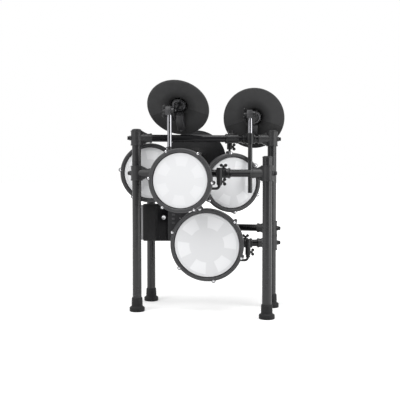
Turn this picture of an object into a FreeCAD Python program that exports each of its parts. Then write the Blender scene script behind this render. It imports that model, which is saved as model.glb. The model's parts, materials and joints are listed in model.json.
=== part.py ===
import FreeCAD, Part
import math
import os

# Electronic drum kit on a four-post rack, folded flat for storage.
# Millimetres, +Z up, +X along the top bar, -Y towards the front of the folded rack.

Vec = FreeCAD.Vector

# General fits
fit_clearance = 0.1
swivel_clearance = 0.3
cut_overrun = 2.0

# Rack tubes
tube_d = 38.0
bar_d = 30.0
tube_wall = 2.0
tube_end_wall = 3.0
main_span = 580.0
wing_span = 552.0
wing_fold_deg = 24.5
rack_shift_x = 7.0
top_bar_z = 726.0
left_bar_drop = 146.0
right_bar_drop = 383.0
snare_arm_drop = 446.0
snare_arm_length = 118.0
main_post_rise = 36.0
wing_post_rise = 66.0

# Tee clamps at the crossings
clamp_length = 62.0
clamp_wall = 4.5
socket_wall = 3.8
socket_reach = 64.0
gusset_t = 15.0
gusset_foot_share = 0.94
gusset_run_share = 0.7
boss_d = 20.0
boss_h = 5.0
bolt_d = 8.0
bolt_head_d = 17.0
bolt_head_h = 10.0

# Rubber feet
foot_h = 58.0
foot_flange_d = 64.0
foot_flange_h = 17.0
foot_waist_d = 47.0
foot_mouth_d = 44.0
foot_floor = 7.0
foot_edge_r = 5.0

# Drum pads
tom_d = 252.5
snare_d = 308.0
hoop_width = 15.5
hoop_h = 26.0
hoop_lip_h = 18.0
hoop_skirt = 6.0
hoop_edge_r = 5.0
head_drop = 6.0
head_t = 0.8
head_skirt_gap = 2.5
flesh_ring_w = 7.0
flesh_ring_h = 5.0
shell_wall = 4.0
shell_depth = 48.0
shell_floor = 3.0
ledge_w = 4.0
ledge_h = 4.0
frame_drop = 8.0
frame_t = 3.0
frame_ring_w = 8.0
frame_hub_share = 0.56
frame_window_deg = 35.0
sensor_d = 28.0
lug_count = 6
ear_d = 17.0
ear_inset = 0.5
ear_drop = 4.0
ear_h = 15.0
lug_h = 16.0
lug_drop = 29.0
screw_d = 5.0
screw_head_d = 11.0
screw_head_h = 5.0
screw_length = 38.0

# Pad brackets and L-rods
rod_d = 10.5
rod_bend_r = 14.0
rod_tip = 4.0
bracket_d = 26.0
bracket_length = 36.0
bracket_gap = 7.0
bracket_web_w = 18.0

# Clamps that hold a rod or an arm beside a tube
grip_length = 54.0
grip_wall = 4.0
grip_web_w = 30.0
grip_web_h = 26.0
grip_boss_wall = 6.0
grip_boss_h = 44.0
collar_wall = 6.0
collar_h = 22.0

# Wing screws
wing_shank_d = 6.0
wing_hub_d = 10.0
wing_hub_h = 8.0
wing_lobe_d = 13.0
wing_t = 4.0
wing_spread = 9.0
wing_lift = 9.0

# Pads: place of the hoop's front centre from the carrying post and bar, facing, lug turn, bracket and rod
centre_tom_x = 153.0
centre_tom_y = -233.0
centre_tom_z = -28.5
centre_tom_yaw_deg = -18.0
centre_tom_pitch_deg = 0.0
centre_tom_lug_deg = -4.0
centre_tom_bracket_x = 0.0
centre_tom_bracket_y = -32.0
centre_tom_rod_x = 146.0

snare_x = -296.0
snare_y = -72.0
snare_z = -0.7
snare_yaw_deg = -17.0
snare_pitch_deg = -6.0
snare_lug_deg = 40.0
snare_bracket_x = 20.0
snare_bracket_y = -75.0
snare_rod_x = 166.0

right_tom_x = -174.0
right_tom_y = -20.0
right_tom_z = -188.0
right_tom_yaw_deg = 9.0
right_tom_pitch_deg = -5.0
right_tom_lug_deg = 36.0
right_tom_bracket_x = -46.0
right_tom_bracket_y = 20.0
right_tom_rod_x = 8.0

left_tom_x = -521.0
left_tom_y = 46.0
left_tom_z = 238.0
left_tom_yaw_deg = -8.5
left_tom_pitch_deg = 0.0
left_tom_lug_deg = -6.0
left_tom_bracket_x = 0.0
left_tom_bracket_y = 0.0
left_tom_rod_x = 46.0
left_tom_rod_back = 40.0

# Cymbal pads
cymbal_d = 263.0
cymbal_edge_t = 6.0
cymbal_edge_r = 2.5
cymbal_bow_rise = 15.0
cymbal_bell_d = 84.0
cymbal_recess = 28.0
cymbal_t = 8.0
hub_d = 62.0
hub_h = 8.0
jack_box_w = 32.0
jack_box_l = 74.0
jack_box_proud = 11.0
jack_rise = 4.5
jack_box_start = 14.0
jack_r = 3.2
jack_depth = 18.0
jack_wall = 3.2
post_d = 9.0
washer_d = 34.0
washer_h = 8.0
top_nut_d = 22.0
top_nut_h = 10.0
post_end = 8.0
tilter_reach = 96.0
tilter_drop = 30.0
eye_d = 28.0
eye_w = 10.0
tilter_web_h = 22.0

# Cymbal arms
arm_tube_d = 19.0
arm_rod_d = 18.4
arm_eye_w = 20.0
arm_tube_below = 62.0

left_cymbal_x = 169.0
left_cymbal_y = -37.0
left_cymbal_z = 269.0
left_cymbal_yaw_deg = -22.0
left_cymbal_pitch_deg = -37.0
left_cymbal_tube_rise = 108.0

right_cymbal_x = -72.0
right_cymbal_y = 34.0
right_cymbal_z = 90.0
right_cymbal_yaw_deg = -13.0
right_cymbal_pitch_deg = -15.0
right_cymbal_tube_rise = 10.0
right_cymbal_tube_below = 230.0

rear_cymbal_bar_share = 0.6
rear_cymbal_x = -10.62
rear_cymbal_y = -18.34
rear_cymbal_z = 296.0
rear_cymbal_yaw_deg = 171.0
rear_cymbal_pitch_deg = -11.0
rear_cymbal_tube_rise = 134.0

# Sound module
module_w = 200.0
module_h = 162.0
module_d = 40.0
module_wall = 3.0
module_edge_r = 6.0
module_bar_share = 0.7565
module_x = -107.0
module_y = -77.17
module_z = -59.0
module_yaw_deg = -8.7
module_side_w = 62.0
panel_t = 4.0
panel_margin = 4.0
dial_d = 26.0
dial_h = 14.0
dial_edge_r = 2.3
dial_x = 30.0
dial_z = 104.0
dial_shaft_d = 8.0
button_w = 14.0
button_h = 8.0
button_proud = 3.0
button_travel = 1.2
button_seat = 2.0
button_x = 72.0
button_z = 80.0
button_pitch = 18.0
button_count = 3
button_gap = 0.4
bracket_w = 46.0
bracket_h = 40.0
module_jack_pitch = 30.0
module_jack_inset = 96.0
module_jack_count = 2

# Worked-out sizes
tube_r = tube_d / 2
bar_r = bar_d / 2
clamp_r = tube_r + clamp_wall
socket_r = bar_r + socket_wall
bar_start = tube_r + clamp_wall
rod_r = rod_d / 2
arm_tube_r = arm_tube_d / 2
left_bar_z = top_bar_z - left_bar_drop
right_bar_z = top_bar_z - right_bar_drop
snare_arm_z = top_bar_z - snare_arm_drop
main_post_top_z = top_bar_z + main_post_rise
wing_post_top_z = left_bar_z + wing_post_rise
fold = math.radians(wing_fold_deg)
up = Vec(0, 0, 1)
left_post = Vec(rack_shift_x - main_span / 2, 0, 0)
right_post = Vec(rack_shift_x + main_span / 2, 0, 0)
left_wing_dir = Vec(math.cos(fold), -math.sin(fold), 0)
right_wing_dir = Vec(-math.cos(fold), math.sin(fold), 0)
top_bar_dir = Vec(1, 0, 0)
left_wing_post = left_post + left_wing_dir * wing_span
right_wing_post = right_post + right_wing_dir * wing_span
rear_cymbal_root = right_post + right_wing_dir * (wing_span * rear_cymbal_bar_share)
module_root = right_post + right_wing_dir * (wing_span * module_bar_share)


# Shape helpers
def rod(radius, start, end):
    """Round bar between two points."""
    return Part.makeCylinder(radius, (end - start).Length, start, end - start)


def pipe(outer_r, inner_r, start, end):
    """Tube open at both ends."""
    return rod(outer_r, start, end).cut(rod(inner_r, start, end))


def fused(shapes):
    """One solid from several that meet."""
    whole = shapes[0].multiFuse(shapes[1:])
    return whole.removeSplitter().Solids[0]


def axes(right, upward, out, origin):
    """Place of a local frame."""
    return FreeCAD.Placement(origin, FreeCAD.Rotation(right, upward, out, "XZY"))


def placed(shape, place):
    """Copy of a shape moved into a local frame."""
    moved = shape.copy()
    moved.Placement = place.multiply(shape.Placement)
    return moved


def block(size, centre):
    """Box about a centre."""
    corner = centre - size * 0.5
    return Part.makeBox(size.x, size.y, size.z, corner)


def rounded_wire(points, radii, closed):
    """Straight runs joined by tangent arcs at the corners that have a radius."""
    count = len(points)
    arrive = list(points)
    leave = list(points)
    middle = {}
    for i in range(count):
        if radii[i] == 0:
            continue
        corner = points[i]
        back = (points[i - 1] - corner).normalize()
        ahead = (points[(i + 1) % count] - corner).normalize()
        half = back.getAngle(ahead) / 2
        arrive[i] = corner + back * (radii[i] / math.tan(half))
        leave[i] = corner + ahead * (radii[i] / math.tan(half))
        inward = (back + ahead).normalize()
        middle[i] = corner + inward * (radii[i] / math.sin(half) - radii[i])
    edges = []
    for i in range(count if closed else count - 1):
        if i in middle:
            edges.append(Part.Arc(arrive[i], middle[i], leave[i]).toShape())
        edges.append(Part.LineSegment(leave[i], arrive[(i + 1) % count]).toShape())
    return Part.Wire(edges)


def turned(outline):
    """Solid of revolution about Z from (radius, height, corner radius) rows."""
    points = [Vec(r, 0, z) for r, z, _ in outline]
    wire = rounded_wire(points, [c for _, _, c in outline], True)
    return Part.Face(wire).revolve(Vec(0, 0, 0), up, 360)


def bent_rod(points, radius, bend_r):
    """Round rod along straight runs with bends."""
    radii = [0] + [bend_r] * (len(points) - 2) + [0]
    path = rounded_wire(points, radii, False)
    section = Part.Wire(Part.makeCircle(radius, points[0], points[1] - points[0]))
    return path.makePipeShell([section], True, False)


def around(count, turn_deg):
    """Angles of an even ring of places."""
    return [math.radians(turn_deg + 360 * i / count) for i in range(count)]


# Rack
def post(foot, top_z):
    """Upright tube closed at the top, standing in its foot."""
    base = foot + up * foot_floor
    top = foot + up * top_z
    bore = rod(tube_r - tube_wall, base, top - up * tube_end_wall)
    return rod(tube_r, base, top).cut(bore)


def bar(start_post, end_post, height):
    """Cross tube between the sockets of two tee clamps."""
    along = (end_post - start_post).normalize()
    start = start_post + along * bar_start + up * height
    end = end_post - along * bar_start + up * height
    return pipe(bar_r, bar_r - tube_wall, start, end)


def rubber_foot(place):
    """Flared rubber foot with a socket for the post."""
    bore_r = tube_r + fit_clearance
    outline = [
        (0, 0, 0),
        (foot_flange_d / 2, 0, foot_edge_r),
        (foot_flange_d / 2, foot_flange_h, foot_edge_r),
        (foot_waist_d / 2, foot_flange_h + foot_edge_r, foot_edge_r),
        (foot_mouth_d / 2, foot_h, 0),
        (bore_r, foot_h, 0),
        (bore_r, foot_floor, 0),
        (0, foot_floor, 0),
    ]
    return placed(turned(outline), FreeCAD.Placement(place, FreeCAD.Rotation()))


def tee_clamp(place, along, height, post_gap):
    """Sleeve on a post with a socket for a cross tube, braced by a web."""
    half = clamp_length / 2
    sleeve = rod(clamp_r, up * -half, up * half)
    socket = rod(socket_r, Vec(0, 0, 0), Vec(socket_reach, 0, 0))
    boss = rod(boss_d / 2, Vec(0, 0, 0), Vec(-clamp_r - boss_h, 0, 0))
    web_run = socket_reach * gusset_run_share
    web_foot = half * gusset_foot_share
    web_y = -gusset_t / 2
    corners = [
        Vec(0, web_y, web_foot),
        Vec(clamp_r, web_y, web_foot),
        Vec(web_run, web_y, socket_r),
        Vec(web_run, web_y, -socket_r),
        Vec(clamp_r, web_y, -web_foot),
        Vec(0, web_y, -web_foot),
    ]
    web = Part.Face(Part.makePolygon(corners + corners[:1])).extrude(Vec(0, gusset_t, 0))
    body = fused([sleeve, socket, web, boss])
    body = body.cut(rod(tube_r + post_gap, up * (-half - cut_overrun), up * (half + cut_overrun)))
    bar_bore = rod(bar_r + fit_clearance, Vec(bar_start, 0, 0), Vec(socket_reach + cut_overrun, 0, 0))
    bolt_bore = rod(bolt_d / 2 + fit_clearance, Vec(0, 0, 0), Vec(-clamp_r - boss_h - cut_overrun, 0, 0))
    body = body.cut(bar_bore).cut(bolt_bore).Solids[0]
    side = up.cross(along)
    return placed(body, axes(along, side, up, place + up * height))


def clamp_bolt(place, along, height):
    """Hexagon bolt that closes a tee clamp on its post."""
    seat = -clamp_r - boss_h
    shank = rod(bolt_d / 2, Vec(-tube_r - swivel_clearance, 0, 0), Vec(seat, 0, 0))
    ring = [Vec(seat, bolt_head_d / 2 * math.cos(a), bolt_head_d / 2 * math.sin(a)) for a in around(6, 0)]
    head = Part.Face(Part.makePolygon(ring + ring[:1])).extrude(Vec(-bolt_head_h, 0, 0))
    bolt = fused([shank, head])
    return placed(bolt, axes(along, up.cross(along), up, place + up * height))


# Wing screws and side clamps
def wing_screw(seat, out, depth):
    """Screw with two thumb lobes; the shank reaches in from its seat."""
    lobes = [
        rod(wing_lobe_d / 2, Vec(x, -wing_t / 2, wing_lift), Vec(x, wing_t / 2, wing_lift))
        for x in (-wing_spread, wing_spread)
    ]
    bridge_h = wing_lobe_d / 2
    bridge = block(Vec(wing_spread * 2, wing_t, bridge_h), Vec(0, 0, wing_lift - bridge_h / 2))
    hub = rod(wing_hub_d / 2, Vec(0, 0, 0), up * wing_hub_h)
    shank = rod(wing_shank_d / 2, up * -depth, Vec(0, 0, 0))
    side = out.cross(Vec(0, 1, 0) if abs(out.y) < abs(out.z) + abs(out.x) else up).normalize()
    return placed(fused([hub, bridge, shank] + lobes), axes(side, out.cross(side), out, seat))


def side_clamp(bar_point, bar_dir, gripped_r, rod_point, rod_dir, held_r, held_gap, screw_dir):
    """Clamp round a tube with a boss beside it for a rod, and its wing screw."""
    sleeve_r = gripped_r + grip_wall
    half = bar_dir * (grip_length / 2)
    rise = rod_dir * (grip_boss_h / 2)
    reach = rod_point - bar_point
    third = reach.cross(bar_dir).normalize()
    sleeve = rod(sleeve_r, bar_point - half, bar_point + half)
    boss = rod(held_r + grip_boss_wall, rod_point - rise, rod_point + rise)
    web = block(Vec(reach.Length, grip_web_w, grip_web_h), Vec(reach.Length / 2, 0, 0))
    web = placed(web, axes(reach * (1 / reach.Length), bar_dir, third * -1, bar_point))
    saddle = rod(wing_hub_d, bar_point, bar_point + screw_dir * (sleeve_r + grip_wall))
    body = fused([sleeve, web, boss, saddle])
    over = bar_dir * (grip_length / 2 + cut_overrun)
    body = body.cut(rod(gripped_r + fit_clearance, bar_point - over, bar_point + over))
    over = rod_dir * (grip_boss_h / 2 + cut_overrun)
    body = body.cut(rod(held_r + held_gap, rod_point - over, rod_point + over))
    seat = bar_point + screw_dir * (sleeve_r + grip_wall)
    screw_bore = rod(wing_shank_d / 2 + fit_clearance, bar_point, seat + screw_dir * cut_overrun)
    body = body.cut(screw_bore).Solids[0]
    screw = wing_screw(seat, screw_dir, sleeve_r + grip_wall - gripped_r - fit_clearance)
    return body, screw


# Drum pads
class PadPlace:
    """Where a pad hangs: its local frame has +Z out of the head and +Y up the face."""

    def __init__(self, centre, yaw_deg, pitch_deg):
        yaw = math.radians(yaw_deg)
        pitch = math.radians(pitch_deg)
        flat = math.cos(pitch)
        self.out = Vec(math.sin(yaw) * flat, -math.cos(yaw) * flat, math.sin(pitch))
        self.right = Vec(math.cos(yaw), math.sin(yaw), 0)
        self.upward = self.out.cross(self.right)
        self.frame = axes(self.right, self.upward, self.out, centre)

    def point(self, x, y, z):
        """Point of the local frame in the kit's frame."""
        return self.frame.multVec(Vec(x, y, z))


bracket_z = -shell_depth - bracket_gap - bracket_d / 2


def lug_places(pad_d, lug_deg):
    """Centres of the tension screws."""
    reach = pad_d / 2 - ear_inset
    return [Vec(reach * math.cos(a), reach * math.sin(a), 0) for a in around(lug_count, lug_deg)]


def pad_radii(pad_d):
    """Hoop opening, head skirt and shell radii that nest inside each other."""
    opening_r = pad_d / 2 - hoop_width
    skirt_r = opening_r - head_skirt_gap
    shell_r = skirt_r - head_t - swivel_clearance
    return opening_r, skirt_r, shell_r


def pad_hoop(pad_d, lugs):
    """Hoop that pulls the head down, with an ear at each screw."""
    opening_r = pad_radii(pad_d)[0]
    outer_r = pad_d / 2
    outline = [
        (opening_r, -hoop_lip_h, 0),
        (opening_r, 0, hoop_edge_r),
        (outer_r, 0, hoop_edge_r),
        (outer_r, -hoop_h, 0),
        (outer_r - hoop_skirt, -hoop_h, 0),
        (outer_r - hoop_skirt, -hoop_lip_h, 0),
    ]
    ears = [rod(ear_d / 2, p - up * ear_drop, p - up * (ear_drop + ear_h)) for p in lugs]
    body = fused([turned(outline)] + ears)
    for p in lugs:
        body = body.cut(rod(screw_head_d / 2 + swivel_clearance, p - up * ear_drop, p + up * cut_overrun))
        body = body.cut(rod(screw_d / 2 + fit_clearance, p - up * (hoop_h + cut_overrun), p))
    return body.Solids[0]


def pad_head(pad_d):
    """Mesh head with its skirt and flesh ring."""
    skirt_r = pad_radii(pad_d)[1]
    outline = [
        (0, -head_drop, 0),
        (skirt_r, -head_drop, 0),
        (skirt_r, -hoop_lip_h, 0),
        (skirt_r + flesh_ring_w, -hoop_lip_h, 0),
        (skirt_r + flesh_ring_w, -hoop_lip_h - flesh_ring_h, 0),
        (skirt_r - head_t, -hoop_lip_h - flesh_ring_h, 0),
        (skirt_r - head_t, -head_drop - head_t, 0),
        (0, -head_drop - head_t, 0),
    ]
    return turned(outline)


def pad_shell(pad_d, lugs, bracket_x, bracket_y):
    """Shallow shell with lugs round the side and a rod bracket on the back."""
    shell_r = pad_radii(pad_d)[2]
    inner_r = shell_r - shell_wall
    rim_z = -head_drop - head_t
    ledge_z = rim_z - frame_drop - frame_t
    outline = [
        (0, -shell_depth, 0),
        (shell_r, -shell_depth, shell_wall),
        (shell_r, rim_z, 0),
        (inner_r, rim_z, 0),
        (inner_r, ledge_z, 0),
        (inner_r - ledge_w, ledge_z, 0),
        (inner_r, ledge_z - ledge_h, 0),
        (inner_r, -shell_depth + shell_floor, 0),
        (0, -shell_depth + shell_floor, 0),
    ]
    parts = [turned(outline)]
    lug_mid = lug_drop + lug_h / 2
    for p in lugs:
        reach = p.Length - inner_r - shell_wall / 2
        stem = block(Vec(reach, ear_d / 2, lug_h), Vec(p.Length - reach / 2, 0, -lug_mid))
        turn = FreeCAD.Rotation(Vec(1, 0, 0), p)
        parts.append(placed(stem, FreeCAD.Placement(Vec(0, 0, 0), turn)))
        parts.append(rod(ear_d / 2 - ear_inset, p - up * lug_drop, p - up * (lug_drop + lug_h)))
    half = bracket_length / 2
    axis_start = Vec(bracket_x - half, bracket_y, bracket_z)
    axis_end = Vec(bracket_x + half, bracket_y, bracket_z)
    parts.append(rod(bracket_d / 2, axis_start, axis_end))
    web_h = -bracket_z - shell_depth + shell_floor / 2
    web_mid = Vec(bracket_x, bracket_y, bracket_z + web_h / 2)
    parts.append(block(Vec(bracket_length, bracket_web_w, web_h), web_mid))
    body = fused(parts)
    step = Vec(cut_overrun, 0, 0)
    body = body.cut(rod(rod_r + swivel_clearance, axis_start - step, axis_end + step))
    for p in lugs:
        body = body.cut(rod(screw_d / 2 + fit_clearance, p, p - up * (shell_depth + cut_overrun)))
    return body.Solids[0]


def trigger_frame(pad_d, lug_deg):
    """Carrier plate under the head with a wedge window between each pair of arms and the sensor post."""
    inner_r = pad_radii(pad_d)[2] - shell_wall - fit_clearance
    top_z = -head_drop - head_t - frame_drop
    low = Vec(0, 0, top_z - frame_t)
    high = Vec(0, 0, top_z)
    plate = rod(inner_r, low, high)
    window_r = inner_r - frame_ring_w
    step = up * cut_overrun
    for a in around(lug_count, lug_deg + (180 / lug_count) - frame_window_deg / 2):
        window = Part.makeCylinder(window_r, frame_t + cut_overrun * 2, low - step, up, frame_window_deg)
        window = window.cut(rod(inner_r * frame_hub_share, low - step * 2, high + step * 2))
        window.rotate(Vec(0, 0, 0), up, math.degrees(a))
        plate = plate.cut(window)
    sensor = rod(sensor_d / 2, low, Vec(0, 0, -head_drop - head_t))
    return fused([plate, sensor])


def tension_screws(lugs):
    """Six screws from the hoop ears down into the lugs."""
    screws = []
    for p in lugs:
        seat = p - up * ear_drop
        head = rod(screw_head_d / 2, seat, seat + up * screw_head_h)
        shank = rod(screw_d / 2, seat - up * screw_length, seat)
        screws.append(fused([head, shank]))
    return Part.makeCompound(screws)


def pad_rod(place, bracket_x, bracket_y, rod_x, rod_start):
    """L-rod from its clamp into the bracket on the back of a pad."""
    corner = place.point(rod_x, bracket_y, bracket_z)
    tip = place.point(bracket_x - bracket_length / 2 - rod_tip, bracket_y, bracket_z)
    return bent_rod([rod_start, corner, tip], rod_r, rod_bend_r)


def rod_collar(top, down, side):
    """Stop collar on a rod under its clamp, with a wing screw at the side."""
    low = top + down * collar_h
    collar_r = rod_r + collar_wall
    middle = (top + low) * 0.5
    ring = pipe(collar_r, rod_r + fit_clearance, top, low)
    bore = rod(wing_shank_d / 2 + fit_clearance, middle, middle + side * (collar_r + cut_overrun))
    screw = wing_screw(middle + side * (collar_r + swivel_clearance), side, collar_wall - fit_clearance)
    return [ring.cut(bore).Solids[0], screw]


def bar_nearest(start, along, height, point):
    """Point of a cross tube's axis beside a given point."""
    origin = start + up * height
    return origin + along * (point - origin).dot(along)


def hung_holder(place, bracket_x, bracket_y, rod_x, bar_origin, bar_dir, bar_z):
    """Clamp on a cross tube, upright L-rod and wing screws of a pad."""
    corner = place.point(rod_x, bracket_y, bracket_z)
    beside = bar_nearest(bar_origin, bar_dir, bar_z, Vec(corner.x, corner.y, bar_z))
    hold = Vec(corner.x, corner.y, bar_z)
    clamp, screw = side_clamp(beside, bar_dir, bar_r, hold, up, rod_r, fit_clearance, up)
    start = hold + up * (grip_boss_h / 2)
    collar = rod_collar(hold - up * (grip_boss_h / 2), up * -1, place.right)
    return [clamp, pad_rod(place, bracket_x, bracket_y, rod_x, start), screw] + collar


def post_holder(place, bracket_x, bracket_y, rod_x, post_foot):
    """Clamp on an upright, level L-rod and wing screw of a pad."""
    corner = place.point(rod_x, bracket_y, bracket_z)
    back = (place.out * -1)
    depth = (post_foot - corner).dot(back)
    hold = corner + back * depth
    beside = Vec(post_foot.x, post_foot.y, hold.z)
    clamp, screw = side_clamp(beside, up, tube_r, hold, back, rod_r, fit_clearance, back)
    start = hold + back * left_tom_rod_back
    return [clamp, pad_rod(place, bracket_x, bracket_y, rod_x, start), screw]


# Cymbal pads
def jack_mouth():
    """Mouth of the socket at the outer end of the jack box."""
    return Vec(0, -jack_box_start - jack_box_l - washer_d / 2, jack_rise)


def cymbal_pad():
    """Rubber cymbal seen from below: rim plane at zero, hollow side towards +Z."""
    rim_r = cymbal_d / 2
    bell_r = cymbal_bell_d / 2
    hole_r = post_d / 2 + fit_clearance
    bow_z = -cymbal_bow_rise
    outline = [
        (hole_r, -cymbal_recess, 0),
        (hub_d / 2, -cymbal_recess, 0),
        (bell_r, bow_z, 0),
        (rim_r - cymbal_edge_t, 0, 0),
        (rim_r, 0, cymbal_edge_r),
        (rim_r, -cymbal_edge_t, cymbal_edge_r),
        (bell_r + cymbal_t, bow_z - cymbal_t, cymbal_t),
        (hub_d / 2, -cymbal_recess - cymbal_t, cymbal_t),
        (hole_r, -cymbal_recess - cymbal_t, 0),
    ]
    low = Vec(0, 0, -cymbal_recess)
    hub = pipe(hub_d / 2, washer_d / 2 + cut_overrun, low - up * (cymbal_t / 2), low + up * hub_h)
    hollow = [
        (0, -cymbal_recess - cymbal_t / 2, 0),
        (hub_d / 2, -cymbal_recess - cymbal_t / 2, 0),
        (bell_r, bow_z - cymbal_t / 2, 0),
        (rim_r - cymbal_edge_t, -cymbal_edge_t / 2, 0),
        (rim_r - cymbal_edge_t, jack_box_proud, 0),
        (0, jack_box_proud, 0),
    ]
    box_mid = -jack_box_start - jack_box_l / 2 - washer_d / 2
    box_h = jack_box_proud + cymbal_recess + cymbal_t
    jack_box = block(Vec(jack_box_w, jack_box_l, box_h), Vec(0, box_mid, jack_box_proud - box_h / 2))
    body = fused([turned(outline), hub, jack_box.common(turned(hollow))])
    mouth = jack_mouth()
    return body.cut(rod(jack_r, mouth, mouth + Vec(0, jack_depth, 0))).Solids[0]


pivot_x = -(eye_w + arm_eye_w) / 2 - swivel_clearance
pivot_z = -cymbal_recess + tilter_reach


def cymbal_tilter():
    """Knuckle, threaded post and washers that carry a cymbal pad."""
    half = eye_w / 2
    eye = rod(eye_d / 2, Vec(-half, tilter_drop, pivot_z), Vec(half, tilter_drop, pivot_z))
    web_l = tilter_drop + tilter_web_h / 2
    web = block(Vec(eye_w, web_l, tilter_web_h), Vec(0, web_l / 2 - tilter_web_h / 2, pivot_z))
    under = Vec(0, 0, -cymbal_recess)
    over = under - up * cymbal_t
    post_top = over - up * (top_nut_h + post_end)
    stem = rod(post_d / 2, post_top, Vec(0, 0, pivot_z))
    washer = rod(washer_d / 2, under, under + up * washer_h)
    collar = rod(top_nut_d / 2, under + up * washer_h, under + up * (washer_h + top_nut_h))
    nut = rod(top_nut_d / 2, over, over - up * top_nut_h)
    body = fused([eye, web, stem, washer, collar, nut])
    bore_x = half + cut_overrun
    bore = rod(wing_shank_d / 2 + swivel_clearance, Vec(-bore_x, tilter_drop, pivot_z),
               Vec(bore_x, tilter_drop, pivot_z))
    return body.cut(bore).Solids[0]


def cymbal_arm(place, tube_low_z, tube_top_z):
    """Upright arm: lower tube, thinner rod, eye at the top and its wing bolt."""
    pivot = place.point(pivot_x, tilter_drop, pivot_z)
    half = place.right * (arm_eye_w / 2)
    low = Vec(pivot.x, pivot.y, tube_low_z)
    joint = Vec(pivot.x, pivot.y, tube_top_z)
    tube = rod(arm_tube_r, low, joint)
    upper = rod(arm_rod_d / 2, joint, pivot)
    eye = rod(eye_d / 2, pivot - half, pivot + half)
    arm = fused([tube, upper, eye])
    over = place.right * (arm_eye_w / 2 + cut_overrun)
    arm = arm.cut(rod(wing_shank_d / 2 + fit_clearance, pivot - over, pivot + over)).Solids[0]
    bolt = wing_screw(pivot - half, place.right * -1, arm_eye_w + eye_w + swivel_clearance + post_end)
    return Part.makeCompound([arm, bolt])


def cymbal_clamp(place, bar_origin, bar_dir, bar_z):
    """Clamp that lets the arm slide up and down beside its cross tube."""
    pivot = place.point(pivot_x, tilter_drop, pivot_z)
    hold = Vec(pivot.x, pivot.y, bar_z)
    beside = bar_nearest(bar_origin, bar_dir, bar_z, hold)
    away = (beside - hold).normalize()
    return side_clamp(beside, bar_dir, bar_r, hold, up, arm_tube_r, swivel_clearance, away)


# Sound module
module_yaw = math.radians(module_yaw_deg)
module_right = Vec(math.cos(module_yaw), math.sin(module_yaw), 0)
module_back = Vec(-math.sin(module_yaw), math.cos(module_yaw), 0)
module_corner = module_root + Vec(module_x, module_y, right_bar_z + module_z)
module_frame = axes(module_right, module_back, up, module_corner)
panel_w = module_w - module_side_w - panel_margin
panel_h = module_h - panel_margin * 2
button_hole_w = button_w + button_gap * 2
button_hole_h = button_h + button_gap * 2


def module_solid():
    """Outer body of the module with rounded edges."""
    body = Part.makeBox(module_w, module_d, module_h, Vec(-module_side_w, 0, 0))
    return body.makeFillet(module_edge_r, body.Edges)


def button_places():
    """Middles of the buttons on the panel face."""
    return [Vec(button_x, 0, button_z + i * button_pitch) for i in range(button_count)]


def module_case():
    """Hollow case with a seat for the panel and jack sockets underneath."""
    body = module_solid()
    room_w = panel_w - module_wall * 2
    room_h = panel_h - module_wall * 2
    room_z = panel_margin + module_wall
    seat = Part.makeBox(panel_w, panel_t, panel_h, Vec(0, 0, panel_margin))
    room = Part.makeBox(room_w, module_d - module_wall, room_h, Vec(module_wall, 0, room_z))
    body = body.cut(seat.fuse(room))
    sockets = []
    for i in range(module_jack_count):
        mouth = Vec(module_jack_inset - module_side_w - i * module_jack_pitch, module_d / 2, 0)
        sockets.append(mouth)
    for mouth in sockets:
        wall_w = (jack_r + jack_wall) * 2
        wall = block(Vec(wall_w, wall_w, jack_depth), mouth + up * (jack_depth / 2 + module_wall))
        body = body.fuse(wall)
    for mouth in sockets:
        body = body.cut(rod(jack_r, mouth - up * cut_overrun, mouth + up * jack_depth))
    return body.removeSplitter().Solids[0]


def module_panel():
    """Front panel with holes for the dial and the buttons."""
    gap = fit_clearance
    plate = Part.makeBox(panel_w - gap * 2, panel_t, panel_h - gap * 2, Vec(gap, 0, panel_margin + gap))
    hole_low = Vec(dial_x, -cut_overrun, dial_z)
    hole_high = Vec(dial_x, panel_t + cut_overrun, dial_z)
    plate = plate.cut(rod(dial_shaft_d / 2 + swivel_clearance, hole_low, hole_high))
    for p in button_places():
        hole_l = panel_t + cut_overrun * 2
        hole = block(Vec(button_hole_w, hole_l, button_hole_h), p + Vec(0, panel_t / 2, 0))
        plate = plate.cut(hole)
    return plate.Solids[0]


def dial_knob():
    """Round dial with a pointer flat on its shaft."""
    face = -swivel_clearance
    cap = rod(dial_d / 2, Vec(dial_x, face, dial_z), Vec(dial_x, face - dial_h, dial_z))
    cap = cap.makeFillet(dial_edge_r, [cap.Edges[0]])
    shaft = rod(dial_shaft_d / 2, Vec(dial_x, face, dial_z), Vec(dial_x, panel_t + dial_h, dial_z))
    return fused([cap, shaft])


def module_button(p):
    """Key cap with a flange behind the panel that keeps it in."""
    cap_d = button_proud + panel_t + button_travel
    cap = block(Vec(button_w, cap_d, button_h), p + Vec(0, cap_d / 2 - button_proud, 0))
    flange_w = Vec(button_w + button_seat * 2, button_seat, button_h + button_seat * 2)
    flange_y = panel_t + swivel_clearance + button_seat / 2
    return fused([cap, block(flange_w, p + Vec(0, flange_y, 0))])


def module_bracket():
    """Sleeve on the rear bar with a stem to the back of the case."""
    grip = module_root + up * right_bar_z
    half = right_wing_dir * (bracket_w / 2)
    sleeve = rod(bar_r + grip_wall, grip - half, grip + half)
    front = up.cross(right_wing_dir)
    stem = block(Vec(bracket_w, module_d * 2, bracket_h), Vec(0, module_d, 0))
    stem = placed(stem, axes(right_wing_dir * -1, front, up * -1, grip))
    body = fused([sleeve, stem])
    case_room = Part.makeBox(module_w, module_d, module_h, Vec(-module_side_w, 0, 0))
    body = body.cut(placed(case_room, module_frame))
    over = right_wing_dir * (bracket_w / 2 + cut_overrun)
    body = body.cut(rod(bar_r + fit_clearance, grip - over, grip + over))
    return body


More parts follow.
